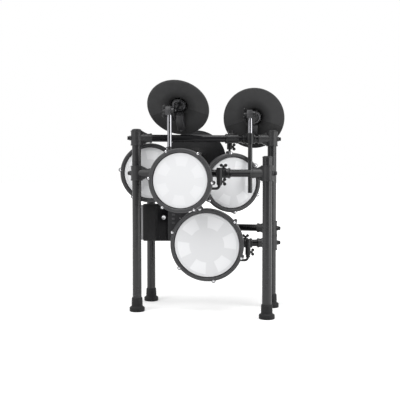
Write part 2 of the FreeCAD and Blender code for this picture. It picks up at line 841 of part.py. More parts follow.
centre_tom_at = left_post + Vec(centre_tom_x, centre_tom_y, left_bar_z + centre_tom_z)
snare_at = right_post + Vec(snare_x, snare_y, snare_arm_z + snare_z)
right_tom_at = right_post + Vec(right_tom_x, right_tom_y, top_bar_z + right_tom_z)
left_tom_at = right_post + Vec(left_tom_x, left_tom_y, right_bar_z + left_tom_z)
pads = {
    "centre_tom": (tom_d, PadPlace(centre_tom_at, centre_tom_yaw_deg, centre_tom_pitch_deg),
                   centre_tom_lug_deg, centre_tom_bracket_x, centre_tom_bracket_y, centre_tom_rod_x),
    "snare": (snare_d, PadPlace(snare_at, snare_yaw_deg, snare_pitch_deg),
              snare_lug_deg, snare_bracket_x, snare_bracket_y, snare_rod_x),
    "right_tom": (tom_d, PadPlace(right_tom_at, right_tom_yaw_deg, right_tom_pitch_deg),
                  right_tom_lug_deg, right_tom_bracket_x, right_tom_bracket_y, right_tom_rod_x),
    "left_tom": (tom_d, PadPlace(left_tom_at, left_tom_yaw_deg, left_tom_pitch_deg),
                 left_tom_lug_deg, left_tom_bracket_x, left_tom_bracket_y, left_tom_rod_x),
}

left_cymbal_at = left_post + Vec(left_cymbal_x, left_cymbal_y, left_bar_z + left_cymbal_z)
right_cymbal_at = right_post + Vec(right_cymbal_x, right_cymbal_y, top_bar_z + right_cymbal_z)
rear_cymbal_at = rear_cymbal_root + Vec(rear_cymbal_x, rear_cymbal_y, right_bar_z + rear_cymbal_z)
cymbals = {
    "left": PadPlace(left_cymbal_at, left_cymbal_yaw_deg, left_cymbal_pitch_deg),
    "right": PadPlace(right_cymbal_at, right_cymbal_yaw_deg, right_cymbal_pitch_deg),
    "rear": PadPlace(rear_cymbal_at, rear_cymbal_yaw_deg, rear_cymbal_pitch_deg),
}


def rack_nodes():
    """Posts, bars, feet, tee clamps and bolts."""
    stub_start = right_post - top_bar_dir * bar_start + up * snare_arm_z
    stub_end = right_post - top_bar_dir * (bar_start + snare_arm_length) + up * snare_arm_z
    bore_end = stub_end + top_bar_dir * tube_end_wall
    main_tees = [
        (left_post, top_bar_dir, top_bar_z),
        (right_post, top_bar_dir * -1, top_bar_z),
        (right_post, top_bar_dir * -1, snare_arm_z),
    ]
    nodes = {
        "left_main_post": post(left_post, main_post_top_z),
        "right_main_post": post(right_post, main_post_top_z),
        "top_bar": bar(left_post, right_post, top_bar_z),
        "snare_arm": rod(bar_r, stub_start, stub_end).cut(rod(bar_r - tube_wall, stub_start, bore_end)),
        "main_clamps": Part.makeCompound([tee_clamp(p, d, z, fit_clearance) for p, d, z in main_tees]),
        "main_bolts": Part.makeCompound([clamp_bolt(p, d, z) for p, d, z in main_tees]),
        "main_feet": Part.makeCompound([rubber_foot(p) for p in (left_post, right_post)]),
    }
    wings = {
        "left_wing": (left_post, left_wing_post, left_wing_dir, left_bar_z),
        "right_wing": (right_post, right_wing_post, right_wing_dir, right_bar_z),
    }
    for name, (inner, outer, along, height) in wings.items():
        tees = [(inner, along, swivel_clearance), (outer, along * -1, fit_clearance)]
        nodes[name + "_post"] = post(outer, wing_post_top_z)
        nodes[name + "_bar"] = bar(inner, outer, height)
        nodes[name + "_foot"] = rubber_foot(outer)
        nodes[name + "_clamps"] = Part.makeCompound([tee_clamp(p, d, height, g) for p, d, g in tees])
        nodes[name + "_bolts"] = Part.makeCompound([clamp_bolt(p, d, height) for p, d, _ in tees])
    return nodes


def pad_nodes():
    """Shell, hoop, head, trigger frame, screws and holder of every pad."""
    hangers = {
        "centre_tom": (left_post, left_wing_dir, left_bar_z),
        "snare": (right_post, top_bar_dir * -1, snare_arm_z),
        "right_tom": (left_post, top_bar_dir, top_bar_z),
    }
    nodes = {}
    for name, (pad_d, place, lug_deg, bracket_x, bracket_y, rod_x) in pads.items():
        lugs = lug_places(pad_d, lug_deg)
        solids = {
            "_shell": pad_shell(pad_d, lugs, bracket_x, bracket_y),
            "_hoop": pad_hoop(pad_d, lugs),
            "_head": pad_head(pad_d),
            "_trigger_frame": trigger_frame(pad_d, lug_deg),
            "_screws": tension_screws(lugs),
        }
        for suffix, shape in solids.items():
            nodes[name + suffix] = placed(shape, place.frame)
        if name in hangers:
            holder = hung_holder(place, bracket_x, bracket_y, rod_x, *hangers[name])
        else:
            holder = post_holder(place, bracket_x, bracket_y, rod_x, right_wing_post)
        nodes[name + "_holder"] = Part.makeCompound(holder)
    return nodes


def cymbal_nodes():
    """Clamp, arm, tilter and pad of every cymbal."""
    stands = {
        "left": (left_post, left_wing_dir, left_bar_z, left_cymbal_tube_rise, arm_tube_below),
        "right": (left_post, top_bar_dir, top_bar_z, right_cymbal_tube_rise, right_cymbal_tube_below),
        "rear": (right_post, right_wing_dir, right_bar_z, rear_cymbal_tube_rise, arm_tube_below),
    }
    nodes = {}
    for name, place in cymbals.items():
        origin, along, height, tube_rise, below = stands[name]
        prefix = name + "_cymbal_"
        nodes[prefix + "clamp"] = Part.makeCompound(cymbal_clamp(place, origin, along, height))
        nodes[prefix + "arm"] = cymbal_arm(place, height - below, height + tube_rise)
        nodes[prefix + "tilter"] = placed(cymbal_tilter(), place.frame)
        nodes[prefix + "pad"] = placed(cymbal_pad(), place.frame)
    return nodes


def module_nodes():
    """Case, panel, dial, buttons and bracket of the sound module."""
    solids = {"module_case": module_case(), "module_panel": module_panel(), "module_dial": dial_knob()}
    for i, p in enumerate(button_places()):
        solids["module_button_%d" % (i + 1)] = module_button(p)
    nodes = {name: placed(shape, module_frame) for name, shape in solids.items()}
    nodes["module_bracket"] = module_bracket()
    return nodes


nodes = {**rack_nodes(), **pad_nodes(), **cymbal_nodes(), **module_nodes()}
os.makedirs("parts", exist_ok=True)
for node_name, node_shape in nodes.items():
    node_shape.exportStep("parts/" + node_name + ".step")
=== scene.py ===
import json
import math

import bmesh
import bpy
import numpy as np
from mathutils import Matrix, Vector


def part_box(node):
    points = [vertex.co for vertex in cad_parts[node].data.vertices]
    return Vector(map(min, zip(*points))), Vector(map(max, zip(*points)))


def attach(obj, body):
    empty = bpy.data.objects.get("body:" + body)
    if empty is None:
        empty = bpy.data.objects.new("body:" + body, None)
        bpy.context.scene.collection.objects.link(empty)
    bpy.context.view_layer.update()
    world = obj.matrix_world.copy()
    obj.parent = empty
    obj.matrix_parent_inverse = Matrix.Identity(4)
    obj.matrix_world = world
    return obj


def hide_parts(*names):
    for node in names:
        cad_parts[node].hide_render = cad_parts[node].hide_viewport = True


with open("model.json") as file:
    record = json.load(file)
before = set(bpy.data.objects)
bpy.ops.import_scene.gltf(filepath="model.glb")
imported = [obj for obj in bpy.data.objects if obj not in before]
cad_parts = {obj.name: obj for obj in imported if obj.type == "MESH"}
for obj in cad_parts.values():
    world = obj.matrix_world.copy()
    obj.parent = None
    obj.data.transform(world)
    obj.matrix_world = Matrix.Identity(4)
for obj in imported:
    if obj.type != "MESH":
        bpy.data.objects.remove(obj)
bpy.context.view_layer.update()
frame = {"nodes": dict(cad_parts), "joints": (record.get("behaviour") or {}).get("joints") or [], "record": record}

# Rack, in metres
tube_r = 0.019
bar_r = 0.015
slip_gap = 0.0001
clamp_r = 0.0235
clamp_half = 0.031
clamp_rim_w = 0.005
clamp_rim_proud = 0.0014
socket_r = 0.0188
socket_reach = 0.064
collar_back = 0.008
collar_w = 0.007
collar_proud = 0.0016
rim_sunk = 0.0006
boss_reach = 0.0285
web_half = 0.0075
web_run = 0.0448
web_foot_share = 0.94
web_rib_stations = (0.0265, 0.0325, 0.0385)
web_rib_root = socket_r * 0.9
foot_h = 0.058
foot_flange_r = 0.032
foot_flange_h = 0.017
foot_groove = 0.0012
foot_shoulder_h = 0.005
foot_waist_r = 0.0235
foot_mouth_r = 0.022
foot_sole_t = 0.007
foot_rib_count = 4
foot_rib_start = 0.014
foot_rib_pitch = 0.006
foot_rib_proud = 0.0007
cap_skirt = 0.0042
cap_wall = 0.0008
cap_crown_h = 0.003
cap_brow_r = 0.013
cap_brow_h = 0.0022
bolt_hole_r = 0.0045
bolt_washer_r = 0.0098
bolt_washer_t = 0.0016
bolt_head_r = 0.0085
bolt_head_top = 0.0095
bolt_key_rim = 0.0030
bolt_key_draft = 0.0002
bolt_key_depth = 0.0035
bolt_shank_r = 0.004

# Clamps that grip a tube and hold a rod or an arm beside it
grip_wall = 0.004
grip_half = 0.027
grip_band_w = 0.007
grip_band_proud = 0.0018
grip_flange_d = 0.0044
grip_flange_h = 0.0052
grip_nut_r = 0.0116
rod_r = 0.00525
rod_back = 0.068
rod_at = {"centre_tom": (0.146, -0.032), "snare": (0.166, -0.075), "right_tom": (0.008, 0.020)}
sleeved_rods = ("centre_tom", "snare")
sleeve_r = 0.0094
sleeve_lift = 0.012
sleeve_ribs = 4
sleeve_groove = 0.0012
sleeve_fit = 0.0002

# Drum pads
pad_radius = {"centre_tom": 0.12625, "snare": 0.154, "right_tom": 0.12625, "left_tom": 0.12625}
lug_turn_deg = {"centre_tom": -4.0, "snare": 40.0, "right_tom": 36.0, "left_tom": -6.0}
lug_count = 6
hoop_width = 0.0155
hoop_lip_h = 0.018
head_drop = 0.006
head_edge_r = 0.0025
ear_drop = 0.004
ear_inset = 0.0005
flesh_ring_w = 0.007
flesh_ring_h = 0.005
flesh_ring_bond = 0.0008
flesh_ring_fall = 0.0002
skirt_gap = 0.0025
shell_gap = 0.0036
shell_wall = 0.004
carrier_low = 0.0178
carrier_t = 0.003
carrier_ring_w = 0.008
ledge_w = 0.004
foam_t = 0.006
foam_fit = 0.0005
foam_bed_gap = 0.0006
foam_edge_r = 0.0012
foam_under = 0.0002
window_foot_share = 0.56
window_deg = 34.0
thread_scale = 260.0
thread_tint = (1.0, 1.006, 1.022)
thread_cover = 0.86
screw_r = 0.0025
screw_low = -0.036
screw_washer_r = 0.0054
screw_washer_t = 0.0010
screw_flange_r = 0.0047
screw_flange_top = 0.0019
screw_neck_r = 0.0036
screw_neck_top = 0.0026
screw_key_r = 0.0043
screw_key_top = 0.0062

# Cymbal pads, hollow side towards +Z and rim plane at zero
rim_r = 0.1315
rim_t = 0.006
bow_rise = 0.015
bell_r = 0.042
recess = 0.028
cymbal_t = 0.008
groove_count = 9
groove_half = 0.0008
groove_depth = 0.0005
groove_margin = 0.008
hub_r = 0.031
hub_bore_r = 0.019
hub_h = 0.008
hub_sunk = 0.002
hub_top = -recess + hub_h
hub_rib = (0.016, 0.003, 0.010)
hub_rib_reach = 0.0385
hub_rib_drop = 0.0060
hub_rib_count = 8
hub_boss_r = 0.0036
hub_boss_proud = 0.0016
hub_boss_count = 4
crown_in_r = 0.0220
crown_out_r = 0.0258
crown_lift = 0.0004
crown_top = 0.0028
crown_sunk = 0.001
crown_spoke_l = 0.0115
crown_spoke_w = 0.0026
crown_spoke_reach = 0.0183
crown_spoke_count = 5
stem_hole_r = 0.0046
top_nut_seat = -recess - cymbal_t - 0.0102
top_nut_r = 0.0088
top_nut_end_r = 0.0074
top_nut_h = 0.007
top_lobe_r = 0.0068
top_lobe_half = 0.0018
top_lobe_at = (0.0135, 0.0065)
top_web = (0.0075, 0.0032, 0.0050)
top_web_at = (0.0088, 0.0045)
jack_box_w = 0.032
jack_box_near = 0.031
jack_box_far = 0.105
jack_box_proud = 0.011
jack_box_sunk = 0.003
jack_lid_margin = (0.007, 0.012)
jack_lid_t = 0.0014
jack_rise = 0.0045
jack_r = 0.0032
jack_mid_reach = 0.096
jack_barrel_r = 0.0050
jack_barrel_l = 0.010
jack_nut_r = 0.0056
jack_nut_t = 0.0018
washer_r = 0.017
felt_out = 0.0013
felt_h = 0.0076
zone_deg = 16.0
ridge_near = 0.047
ridge_far = 0.121
ridge_w = 0.0011
ridge_h = 0.0012
pivot = Vector((-0.0153, 0.030, 0.068))
housing_left = 0.0145
housing_right = 0.0101
housing_d = 0.032
housing_h = 0.034
tooth_count = 5
tooth_pitch = 0.0044
tooth_w = 0.0022
tooth_h = 0.005
housing_rib_d = 0.003
housing_rib_h = 0.0024
housing_rib_z = (-0.006, 0.004)
wing_reach = 0.0155
wing_r = 0.0085
wing_half = 0.0032
wing_out = 0.0085
wing_web_w = 0.0075
wing_web_d = 0.0056
wing_hub_r = 0.0085
wing_hub_h = 0.006
wing_neck_r = 0.0062
wing_neck_low = 0.008
wing_neck_top = 0.014
tube_rise = {"left": 0.108, "right": 0.010, "rear": 0.134}

# Sound module, from the corner of its front panel
dial_at = Vector((0.030, 0.0, 0.104))
dial_gap = 0.0008
dial_r = 0.013
dial_h = 0.014
dial_cap_r = 0.0088
dial_skirt_h = 0.0085
dial_ridge_count = 36
dial_ridge_in = 0.0006
dial_shaft_r = 0.004
dial_shaft_low = -0.018
side_w = 0.062
case_h = 0.162
panel_w = 0.134
panel_low = 0.004
panel_high = 0.158
panel_h = panel_high - panel_low
dial_plate_w = 0.0465
rail_w = 0.008
panel_middle = (panel_high + panel_low) / 2
cover_x = -side_w / 2 - 0.0005
rail_x = -side_w - rail_w / 2 + 0.001
dial_plate_x = dial_plate_w / 2 + 0.0008
button_at = Vector((0.072, 0.0, 0.080))
button_pitch = 0.018
button_w = 0.014
button_h = 0.008
button_d = 0.0082
button_proud = 0.003
button_flange = 0.004
button_flange_t = 0.002
button_flange_z = -0.0053
seam_x = (0.048, panel_w - 0.004)
seam_w = 0.0010
# Size, centre and bevel of each plate on the module's front
module_plates = {
    "side_cover": ((side_w - 0.007, case_h - 0.006, 0.009), (cover_x, case_h / 2, 0.0015), 0.0030),
    "dial_plate": ((dial_plate_w, panel_h - 0.002, 0.0016), (dial_plate_x, panel_middle, -0.0002), 0.0005),
    # The pale side rail is a painted highlight standing in for the lit left edge of the module.
    "side_highlight_rail": ((rail_w, case_h - 0.010, 0.022), (rail_x, case_h / 2, -0.013), 0.0024),
    "display": ((0.052, 0.024, 0.0016), (0.094, 0.140, 0.0004), 0.0006),
}
lamp_r = 0.0016
lamp_at = Vector((0.100, 0.084, 0.0))
lamp_pitch = (0.010, 0.016)
lamp_columns = 3
lamp_count = 6

# Camera, from the photograph's own perspective
camera_at = Vector((-0.451, -2.903, 0.590))
camera_heading_deg = -8.53
camera_pitch_deg = -2.417
camera_lens_mm = 62.36
camera_sensor_mm = 36.0

# Studio
white = (1.0, 1.0, 1.0, 1.0)
room_light = 0.55
floor_half = 30.0
floor_grey = (0.82, 0.82, 0.82, 1)
floor_lift_near = 0.33
floor_fade = (0.7, 3.5)
card_y = -3.7
card_w = 6.4
card_h = 3.0
card_grey = (0.05, 0.05, 0.05, 1)
lit_point = Vector((0.0, 0.0, 0.55))
soft_boxes = {
    "key": (Vector((-2.2, -2.6, 2.6)), (2.8, 2.8), 64.0),
    "fill": (Vector((2.4, -2.0, 1.0)), (2.2, 2.4), 42.0),
    "top": (Vector((0.0, -0.5, 3.0)), (3.0, 0.6), 46.0),
}

# Modelling
merge_gap = 0.00002
sharp_turn = math.radians(38.0)
far_side_dot = -0.2
flat_end_dot = 0.99
arc_shares = (0.0, 0.25, 0.5, 0.75, 1.0)
up = Vector((0, 0, 1))
bar_dir = Vector((1, 0, 0))
to_front = Vector((0, -1, 0))

joints = {j["name"]: j for j in frame["joints"]}
mounts = {m["name"]: m for m in frame["record"]["mounts"]}


# Places worked out from the frame
def place_of(right, upward, out, origin):
    """Matrix of a local frame."""
    columns = Matrix((right, upward, out)).transposed().to_4x4()
    columns.translation = origin
    return columns


def front_place(point):
    """Place on an upright face: X across, Y up and Z to the front."""
    return place_of(bar_dir, up, to_front, point)


def facing(direction, origin):
    """Place whose Z runs along a direction."""
    out = direction.normalized()
    side = out.orthogonal().normalized()
    return place_of(side, out.cross(side), out, origin)


def pad_place(pad):
    """Frame of a pad: +Z out of the head, +Y up the face, origin at the hoop's front centre."""
    right = Vector(joints[pad + "_tilt"]["axis"])
    points = np.array([v.co for v in frame["nodes"][pad + "_head"].data.vertices])
    away = points - points.mean(0)
    directions = np.linalg.eigh(away.T @ away)[1]
    out = Vector(directions[:, 0])
    out = (out - right * out.dot(right)).normalized()
    if out.y > 0:
        out.negate()
    upward = out.cross(right)
    axes = np.array([right, upward, out])
    head = points @ axes.T
    middle = (head.min(0) + head.max(0)) / 2
    front = head[:, 2].max() + head_drop
    return place_of(right, upward, out, right * middle[0] + upward * middle[1] + out * front)


def cymbal_place(name):
    """Frame of a cymbal: hollow side towards +Z, jack box towards -Y."""
    right = Vector(joints[name + "_cymbal_tilt"]["axis"])
    jack = mounts[name + "_cymbal_jack"]
    upward = -Vector(jack["axis"])
    out = right.cross(upward)
    origin = Vector(jack["pos_m"]) + upward * jack_mid_reach - out * jack_rise
    return place_of(right, upward, out, origin)


def module_place():
    """Frame of the module: X across the panel, Y to the back."""
    back = -Vector(joints["dial_turn"]["axis"])
    right = back.cross(up)
    origin = Vector(joints["dial_turn"]["pos_m"]) - right * dial_at.x - up * dial_at.z
    return place_of(right, back, up, origin)


def foot_at(name):
    """Point on the floor under a post."""
    return Vector(mounts[name + "_foot"]["pos_m"])


def height_of(node):
    """Height of a level tube's middle."""
    low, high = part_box(node)
    return (low.z + high.z) / 2


def beside_tube(origin, along, height, point):
    """Point of a level tube's axis beside a given point."""
    start = origin + up * height
    return start + along * (point - start).dot(along)


pad_places = {pad: pad_place(pad) for pad in pad_radius}
cymbal_places = {name: cymbal_place(name) for name in ("left", "right", "rear")}
module_at = module_place()
left_post, right_post = foot_at("left_main"), foot_at("right_main")
left_wing_post, right_wing_post = foot_at("left_wing"), foot_at("right_wing")
left_wing_dir = (left_wing_post - left_post).normalized()
right_wing_dir = (right_wing_post - right_post).normalized()
top_z, snare_z = height_of("top_bar"), height_of("snare_arm")
left_wing_z, right_wing_z = height_of("left_wing_bar"), height_of("right_wing_bar")
tees = {
    "main": [(left_post, bar_dir, top_z), (right_post, -bar_dir, top_z), (right_post, -bar_dir, snare_z)],
    "left_wing": [(left_post, left_wing_dir, left_wing_z), (left_wing_post, -left_wing_dir, left_wing_z)],
    "right_wing": [
        (right_post, right_wing_dir, right_wing_z),
        (right_wing_post, -right_wing_dir, right_wing_z),
    ],
}
rack_groups = {
    "main": ("main_frame", (left_post, right_post), "left_main_post", "main_feet"),
    "left_wing": ("left_wing", (left_wing_post,), "left_wing_post", "left_wing_foot"),
    "right_wing": ("right_wing", (right_wing_post,), "right_wing_post", "right_wing_foot"),
}
top_tube = (left_post, bar_dir, top_z, "main_frame")
snare_tube = (right_post, -bar_dir, snare_z, "main_frame")
left_wing_tube = (left_post, left_wing_dir, left_wing_z, "left_wing")
right_wing_tube = (right_post, right_wing_dir, right_wing_z, "right_wing")
hung_from = {"centre_tom": left_wing_tube, "snare": snare_tube, "right_tom": top_tube}
armed_from = {"left": left_wing_tube, "right": top_tube, "rear": right_wing_tube}


# Shader helpers
def shader(name):
    """Empty material with its tree and its surface node."""
    material = bpy.data.materials.new(name)
    material.use_nodes = True
    return material, material.node_tree, material.node_tree.nodes["Principled BSDF"]


def feed(tree, socket, value):
    """Number, colour or link into a socket."""
    if isinstance(value, bpy.types.NodeSocket):
        tree.links.new(value, socket)
    else:
        socket.default_value = value


def wire(tree, node, **sockets):
    """Node with some of its sockets set or linked by name."""
    for socket, value in sockets.items():
        feed(tree, node.inputs[socket.replace("_", " ")], value)
    return node


def add(tree, kind, **sockets):
    """New node with some of its sockets set or linked by name."""
    return wire(tree, tree.nodes.new(kind), **sockets)


def coords_of(tree, kind):
    """Coordinates of one kind."""
    return add(tree, "ShaderNodeTexCoord").outputs[kind]


def axes_of(tree, coords):
    """X, Y and Z of some coordinates."""
    return add(tree, "ShaderNodeSeparateXYZ", Vector=coords).outputs


def reach_of(tree, coords):
    """Distance from the middle of some coordinates."""
    made = add(tree, "ShaderNodeVectorMath")
    made.operation = "LENGTH"
    tree.links.new(coords, made.inputs[0])
    return made.outputs["Value"]


def calc(tree, operation, *values):
    """Result of one sum on values or sockets."""
    made = add(tree, "ShaderNodeMath")
    made.operation = operation
    for socket, value in zip(made.inputs, values):
        feed(tree, socket, value)
    return made.outputs["Value"]


def between(tree, source, start, end, low=0.0, high=1.0):
    """Value that runs from low to high as a source runs from start to end."""
    made = add(tree, "ShaderNodeMapRange", Value=source, From_Min=start, From_Max=end, To_Min=low,
               To_Max=high)
    return made.outputs["Result"]


def spread(tree, source, low, high):
    """Value stretched between two limits."""
    return between(tree, source, 0.0, 1.0, low, high)


def step_up(tree, source, edge, blur):
    """Zero below an edge and one above it, softened by a blur."""
    return between(tree, source, edge - blur, edge + blur)


def ramp(tree, source, low, high, deep, pale):
    """Colour that runs from deep to pale as a value runs from low to high."""
    made = add(tree, "ShaderNodeValToRGB", Fac=source)
    for stop, position, colour in zip(made.color_ramp.elements, (low, high), (deep, pale)):
        stop.position = position
        stop.color = (*colour, 1)
    return made.outputs["Color"]


def blend(tree, share, first, second, kind="MIX"):
    """Colour made of two others."""
    made = add(tree, "ShaderNodeMix")
    made.data_type = "RGBA"
    made.blend_type = kind
    for socket, value in (("Factor", share), ("A", first), ("B", second)):
        feed(tree, made.inputs[socket], value)
    return made.outputs["Result"]


def noise(tree, coords, scale, detail=3.0):
    """Noise value on some coordinates."""
    return add(tree, "ShaderNodeTexNoise", Vector=coords, Scale=scale, Detail=detail).outputs["Fac"]


def roughen(tree, surface, height, strength, distance):
    """Bump from a height value."""
    made = add(tree, "ShaderNodeBump", Height=height, Strength=strength, Distance=distance)
    wire(tree, surface, Normal=made.outputs["Normal"])


def grey(value, blue=0.001):
    """Grey tone with a trace of blue."""
    return (value, value, value + blue)


# Finishes
def grained(name, deep, pale, rough, grain, bump, gloss=0.5):
    """Finish with two close tones, a fine grain and a roughness that wanders."""
    material, tree, surface = shader(name)
    coords = coords_of(tree, "Object")
    blotches = noise(tree, coords, 26.0, 5.0)
    grains = noise(tree, coords, grain, 2.0)
    colour = ramp(tree, blotches, 0.3, 0.7, deep, pale)
    wandering = spread(tree, blotches, *rough)
    wire(tree, surface, Base_Color=colour, Roughness=wandering, Specular_IOR_Level=gloss)
    roughen(tree, surface, grains, bump, 0.0004)
    return material


def plated(name, deep, pale, rough):
    """Bright plating with faint drawing marks along the height."""
    material, tree, surface = shader(name)
    drawn = add(tree, "ShaderNodeMapping", Vector=coords_of(tree, "Object"), Scale=(900.0, 900.0, 30.0))
    marks = noise(tree, drawn.outputs["Vector"], 1.0, 2.0)
    colour = ramp(tree, marks, 0.25, 0.75, deep, pale)
    wire(tree, surface, Base_Color=colour, Roughness=spread(tree, marks, *rough), Metallic=1.0)
    return material


def window_light_mask(tree, coords, inner_r, lug_deg):
    """One where a window of the carrier lies under the mesh, and zero over its arms, hub and ring; it places the
    painted light of the foam on the mesh.
    """
    turn_blur, edge_blur = 0.02, 0.001
    axes = axes_of(tree, coords)
    around = calc(tree, "ARCTAN2", axes["Y"], axes["X"])
    half_pitch = math.pi / lug_count
    off_lug = calc(tree, "PINGPONG", calc(tree, "SUBTRACT", around, math.radians(lug_deg)), half_pitch)
    across = step_up(tree, off_lug, half_pitch - math.radians(window_deg) / 2, turn_blur)
    reach = reach_of(tree, coords)
    past_hub = step_up(tree, reach, inner_r * window_foot_share, edge_blur)
    inside_ring = calc(tree, "SUBTRACT", 1.0, step_up(tree, reach, inner_r - carrier_ring_w, edge_blur))
    return calc(tree, "MULTIPLY", across, calc(tree, "MULTIPLY", past_hub, inside_ring))


def woven(name, shaded_over_carrier, lit_over_window, inner_r, lug_deg):
    """White mesh of crossed threads on the head's own map, with painted light making it paler where foam backs it
    and painted shade over the carrier.
    """
    material, tree, surface = shader(name)
    coords = coords_of(tree, "UV")
    threads = []
    for direction in ("X", "Y"):
        wave = add(tree, "ShaderNodeTexWave", Vector=coords, Scale=thread_scale, Distortion=0.4, Detail=1.0)
        wave.bands_direction = direction
        threads.append(wave.outputs["Fac"])
    weave = calc(tree, "MAXIMUM", *threads)
    tones = []
    for tone in (shaded_over_carrier, lit_over_window):
        deep, pale = [[v * tint for tint in thread_tint] for v in tone]
        tones.append(ramp(tree, weave, 0.2, 0.9, deep, pale))
    colour = blend(tree, window_light_mask(tree, coords, inner_r, lug_deg), *tones)
    rough = spread(tree, noise(tree, coords, 40.0), 0.55, 0.75)
    wire(tree, surface, Base_Color=colour, Roughness=rough, Alpha=thread_cover, Specular_IOR_Level=0.25)
    roughen(tree, surface, weave, 0.25, 0.0003)
    return material


def ringed(name, deep, pale, rough, ring_scale, bump, lower_shade_share):
    """Moulded rubber with fine rings about the middle of its own map.

    It has painted shade round the bell and painted shade in its lower zone.
    """
    bell_shade_share, zone_blur = 0.12, 0.0006
    material, tree, surface = shader(name)
    coords = coords_of(tree, "UV")
    rings = add(tree, "ShaderNodeTexWave", Vector=coords, Scale=ring_scale, Distortion=0.15, Detail=1.0)
    rings.wave_type = "RINGS"
    rings.rings_direction = "Z"
    solid = coords_of(tree, "Object")
    blotches = noise(tree, solid, 22.0, 5.0)
    grains = noise(tree, solid, 1500.0, 2.0)
    # Painted shade: the colour darkens towards the bell, standing in for the shadow in its recess.
    bell_shade = between(tree, reach_of(tree, coords), bell_r * 0.7, bell_r * 1.9, bell_shade_share, 1.0)
    axes = axes_of(tree, coords)
    # Painted shade: the lower zone, below the line of the zone ridges, is darkened by its share.
    fall = calc(tree, "MULTIPLY", calc(tree, "ABSOLUTE", axes["X"]), math.tan(math.radians(zone_deg)))
    outside_lower_shade = step_up(tree, calc(tree, "ADD", axes["Y"], fall), 0.0, zone_blur)
    shade = calc(tree, "MULTIPLY", bell_shade, spread(tree, outside_lower_shade, lower_shade_share, 1.0))
    colour = blend(tree, 1.0, ramp(tree, blotches, 0.3, 0.7, deep, pale), shade, "MULTIPLY")
    wandering = spread(tree, blotches, *rough)
    wire(tree, surface, Base_Color=colour, Roughness=wandering, Specular_IOR_Level=0.15)
    roughen(tree, surface, calc(tree, "ADD", rings.outputs["Fac"], grains), bump, 0.0003)
    return material


def plated_arm(name, low_z, high_z):
    """Bright plated rod between two heights, dark coat on the tube below it and on the eye above it."""
    material, tree, surface = shader(name)
    coords = coords_of(tree, "Object")
    plating = calc(tree, "COMPARE", axes_of(tree, coords)["Z"], (low_z + high_z) / 2, (high_z - low_z) / 2)
    marks = noise(tree, coords, 300.0)
    dark = ramp(tree, marks, 0.3, 0.7, grey(0.014), grey(0.022))
    bright = ramp(tree, marks, 0.3, 0.7, grey(0.33, 0.02), grey(0.43, 0.02))
    rough = spread(tree, plating, 0.22, 0.14)
    wire(tree, surface, Base_Color=blend(tree, plating, dark, bright), Metallic=plating, Roughness=rough)
    return material


# Each grained finish: deep and pale tone, limits of roughness, grain, bump and gloss
coat = grained("satin_powder_coat", grey(0.012), grey(0.017), (0.24, 0.32), 1800.0, 0.012, 0.45)
clamp_nylon = grained("moulded_clamp", grey(0.015), grey(0.023), (0.34, 0.46), 1300.0, 0.14, 0.42)
bolt_black = grained("black_bolt", grey(0.006), grey(0.011), (0.28, 0.42), 2400.0, 0.06, 0.25)
foot_rubber = grained("foot_rubber", grey(0.006), grey(0.011), (0.50, 0.66), 900.0, 0.30, 0.28)
hoop_rubber = grained("hoop_rubber", grey(0.026, 0.002), grey(0.037, 0.002), (0.36, 0.48), 1500.0, 0.14)
shell_black = grained("shell_moulding", grey(0.014), grey(0.022, 0.002), (0.40, 0.55), 1200.0, 0.16)
bar_coat = grained("gloss_bar_coat", grey(0.006), grey(0.010), (0.10, 0.15), 1800.0, 0.008, 0.25)
holder_steel = grained("holder_steel", grey(0.008), grey(0.014), (0.26, 0.38), 2000.0, 0.08, 0.35)
tilter_black = grained("tilter_casting", grey(0.007), grey(0.012), (0.18, 0.30), 1100.0, 0.08, 0.4)
housing_black = grained("housing_casting", grey(0.026, 0.002), grey(0.038, 0.002), (0.30, 0.42), 1100.0,
                        0.16)
box_grey = grained("jack_box_moulding", grey(0.024, 0.002), grey(0.034, 0.002), (0.38, 0.50), 900.0, 0.20)
felt = grained("felt_washer", grey(0.024), grey(0.048, 0.002), (0.85, 0.95), 700.0, 0.55)
carrier_grey = grained("carrier_moulding", (0.50, 0.51, 0.53), (0.57, 0.58, 0.60), (0.45, 0.60), 900.0, 0.10)
foam_white = grained("white_foam", grey(0.91, 0.01), grey(0.95, 0.01), (0.85, 0.95), 500.0, 0.20)
case_black = grained("module_case_moulding", grey(0.009), grey(0.015), (0.42, 0.55), 1000.0, 0.22, 0.25)
panel_black = grained("module_panel_lacquer", grey(0.003), grey(0.006), (0.20, 0.30), 2200.0, 0.04, 0.12)
panel_grey = grained("module_panel_moulding", grey(0.020, 0.002), grey(0.029, 0.002), (0.40, 0.52), 1000.0,
                     0.14, 0.4)
# Pale grey of the side rail: a painted highlight of the module's lit left edge.
rail_highlight_grey = grained("module_rail_painted_highlight", grey(0.36, 0.01), grey(0.43, 0.01), (0.40, 0.52), 1000.0, 0.14)
key_grey = grained("key_rubber", (0.060, 0.061, 0.064), (0.085, 0.086, 0.090), (0.55, 0.70), 1200.0, 0.15)
window_glass = grained("display_window", (0.006, 0.007, 0.009), (0.010, 0.011, 0.014), (0.05, 0.10), 300.0,
                       0.01)
dark_plating = plated("dark_plating", grey(0.06, 0.005), grey(0.11, 0.005), (0.08, 0.16))
chrome = plated("bright_plating", grey(0.62, 0.02), grey(0.74, 0.02), (0.12, 0.22))
dial_metal = plated("turned_dial", grey(0.66, 0.02), grey(0.80, 0.02), (0.22, 0.34))
# Painted shade on the underside: darker round the bell, and darker by 0.72 in the lower zone; the playing side is
# darker round the bell only.
cymbal_under = ringed("cymbal_underside", grey(0.044), grey(0.052), (0.40, 0.50), 40.0, 0.02, 0.72)
cymbal_top = ringed("cymbal_playing_side", grey(0.007), grey(0.011), (0.50, 0.62), 90.0, 0.06, 1.0)

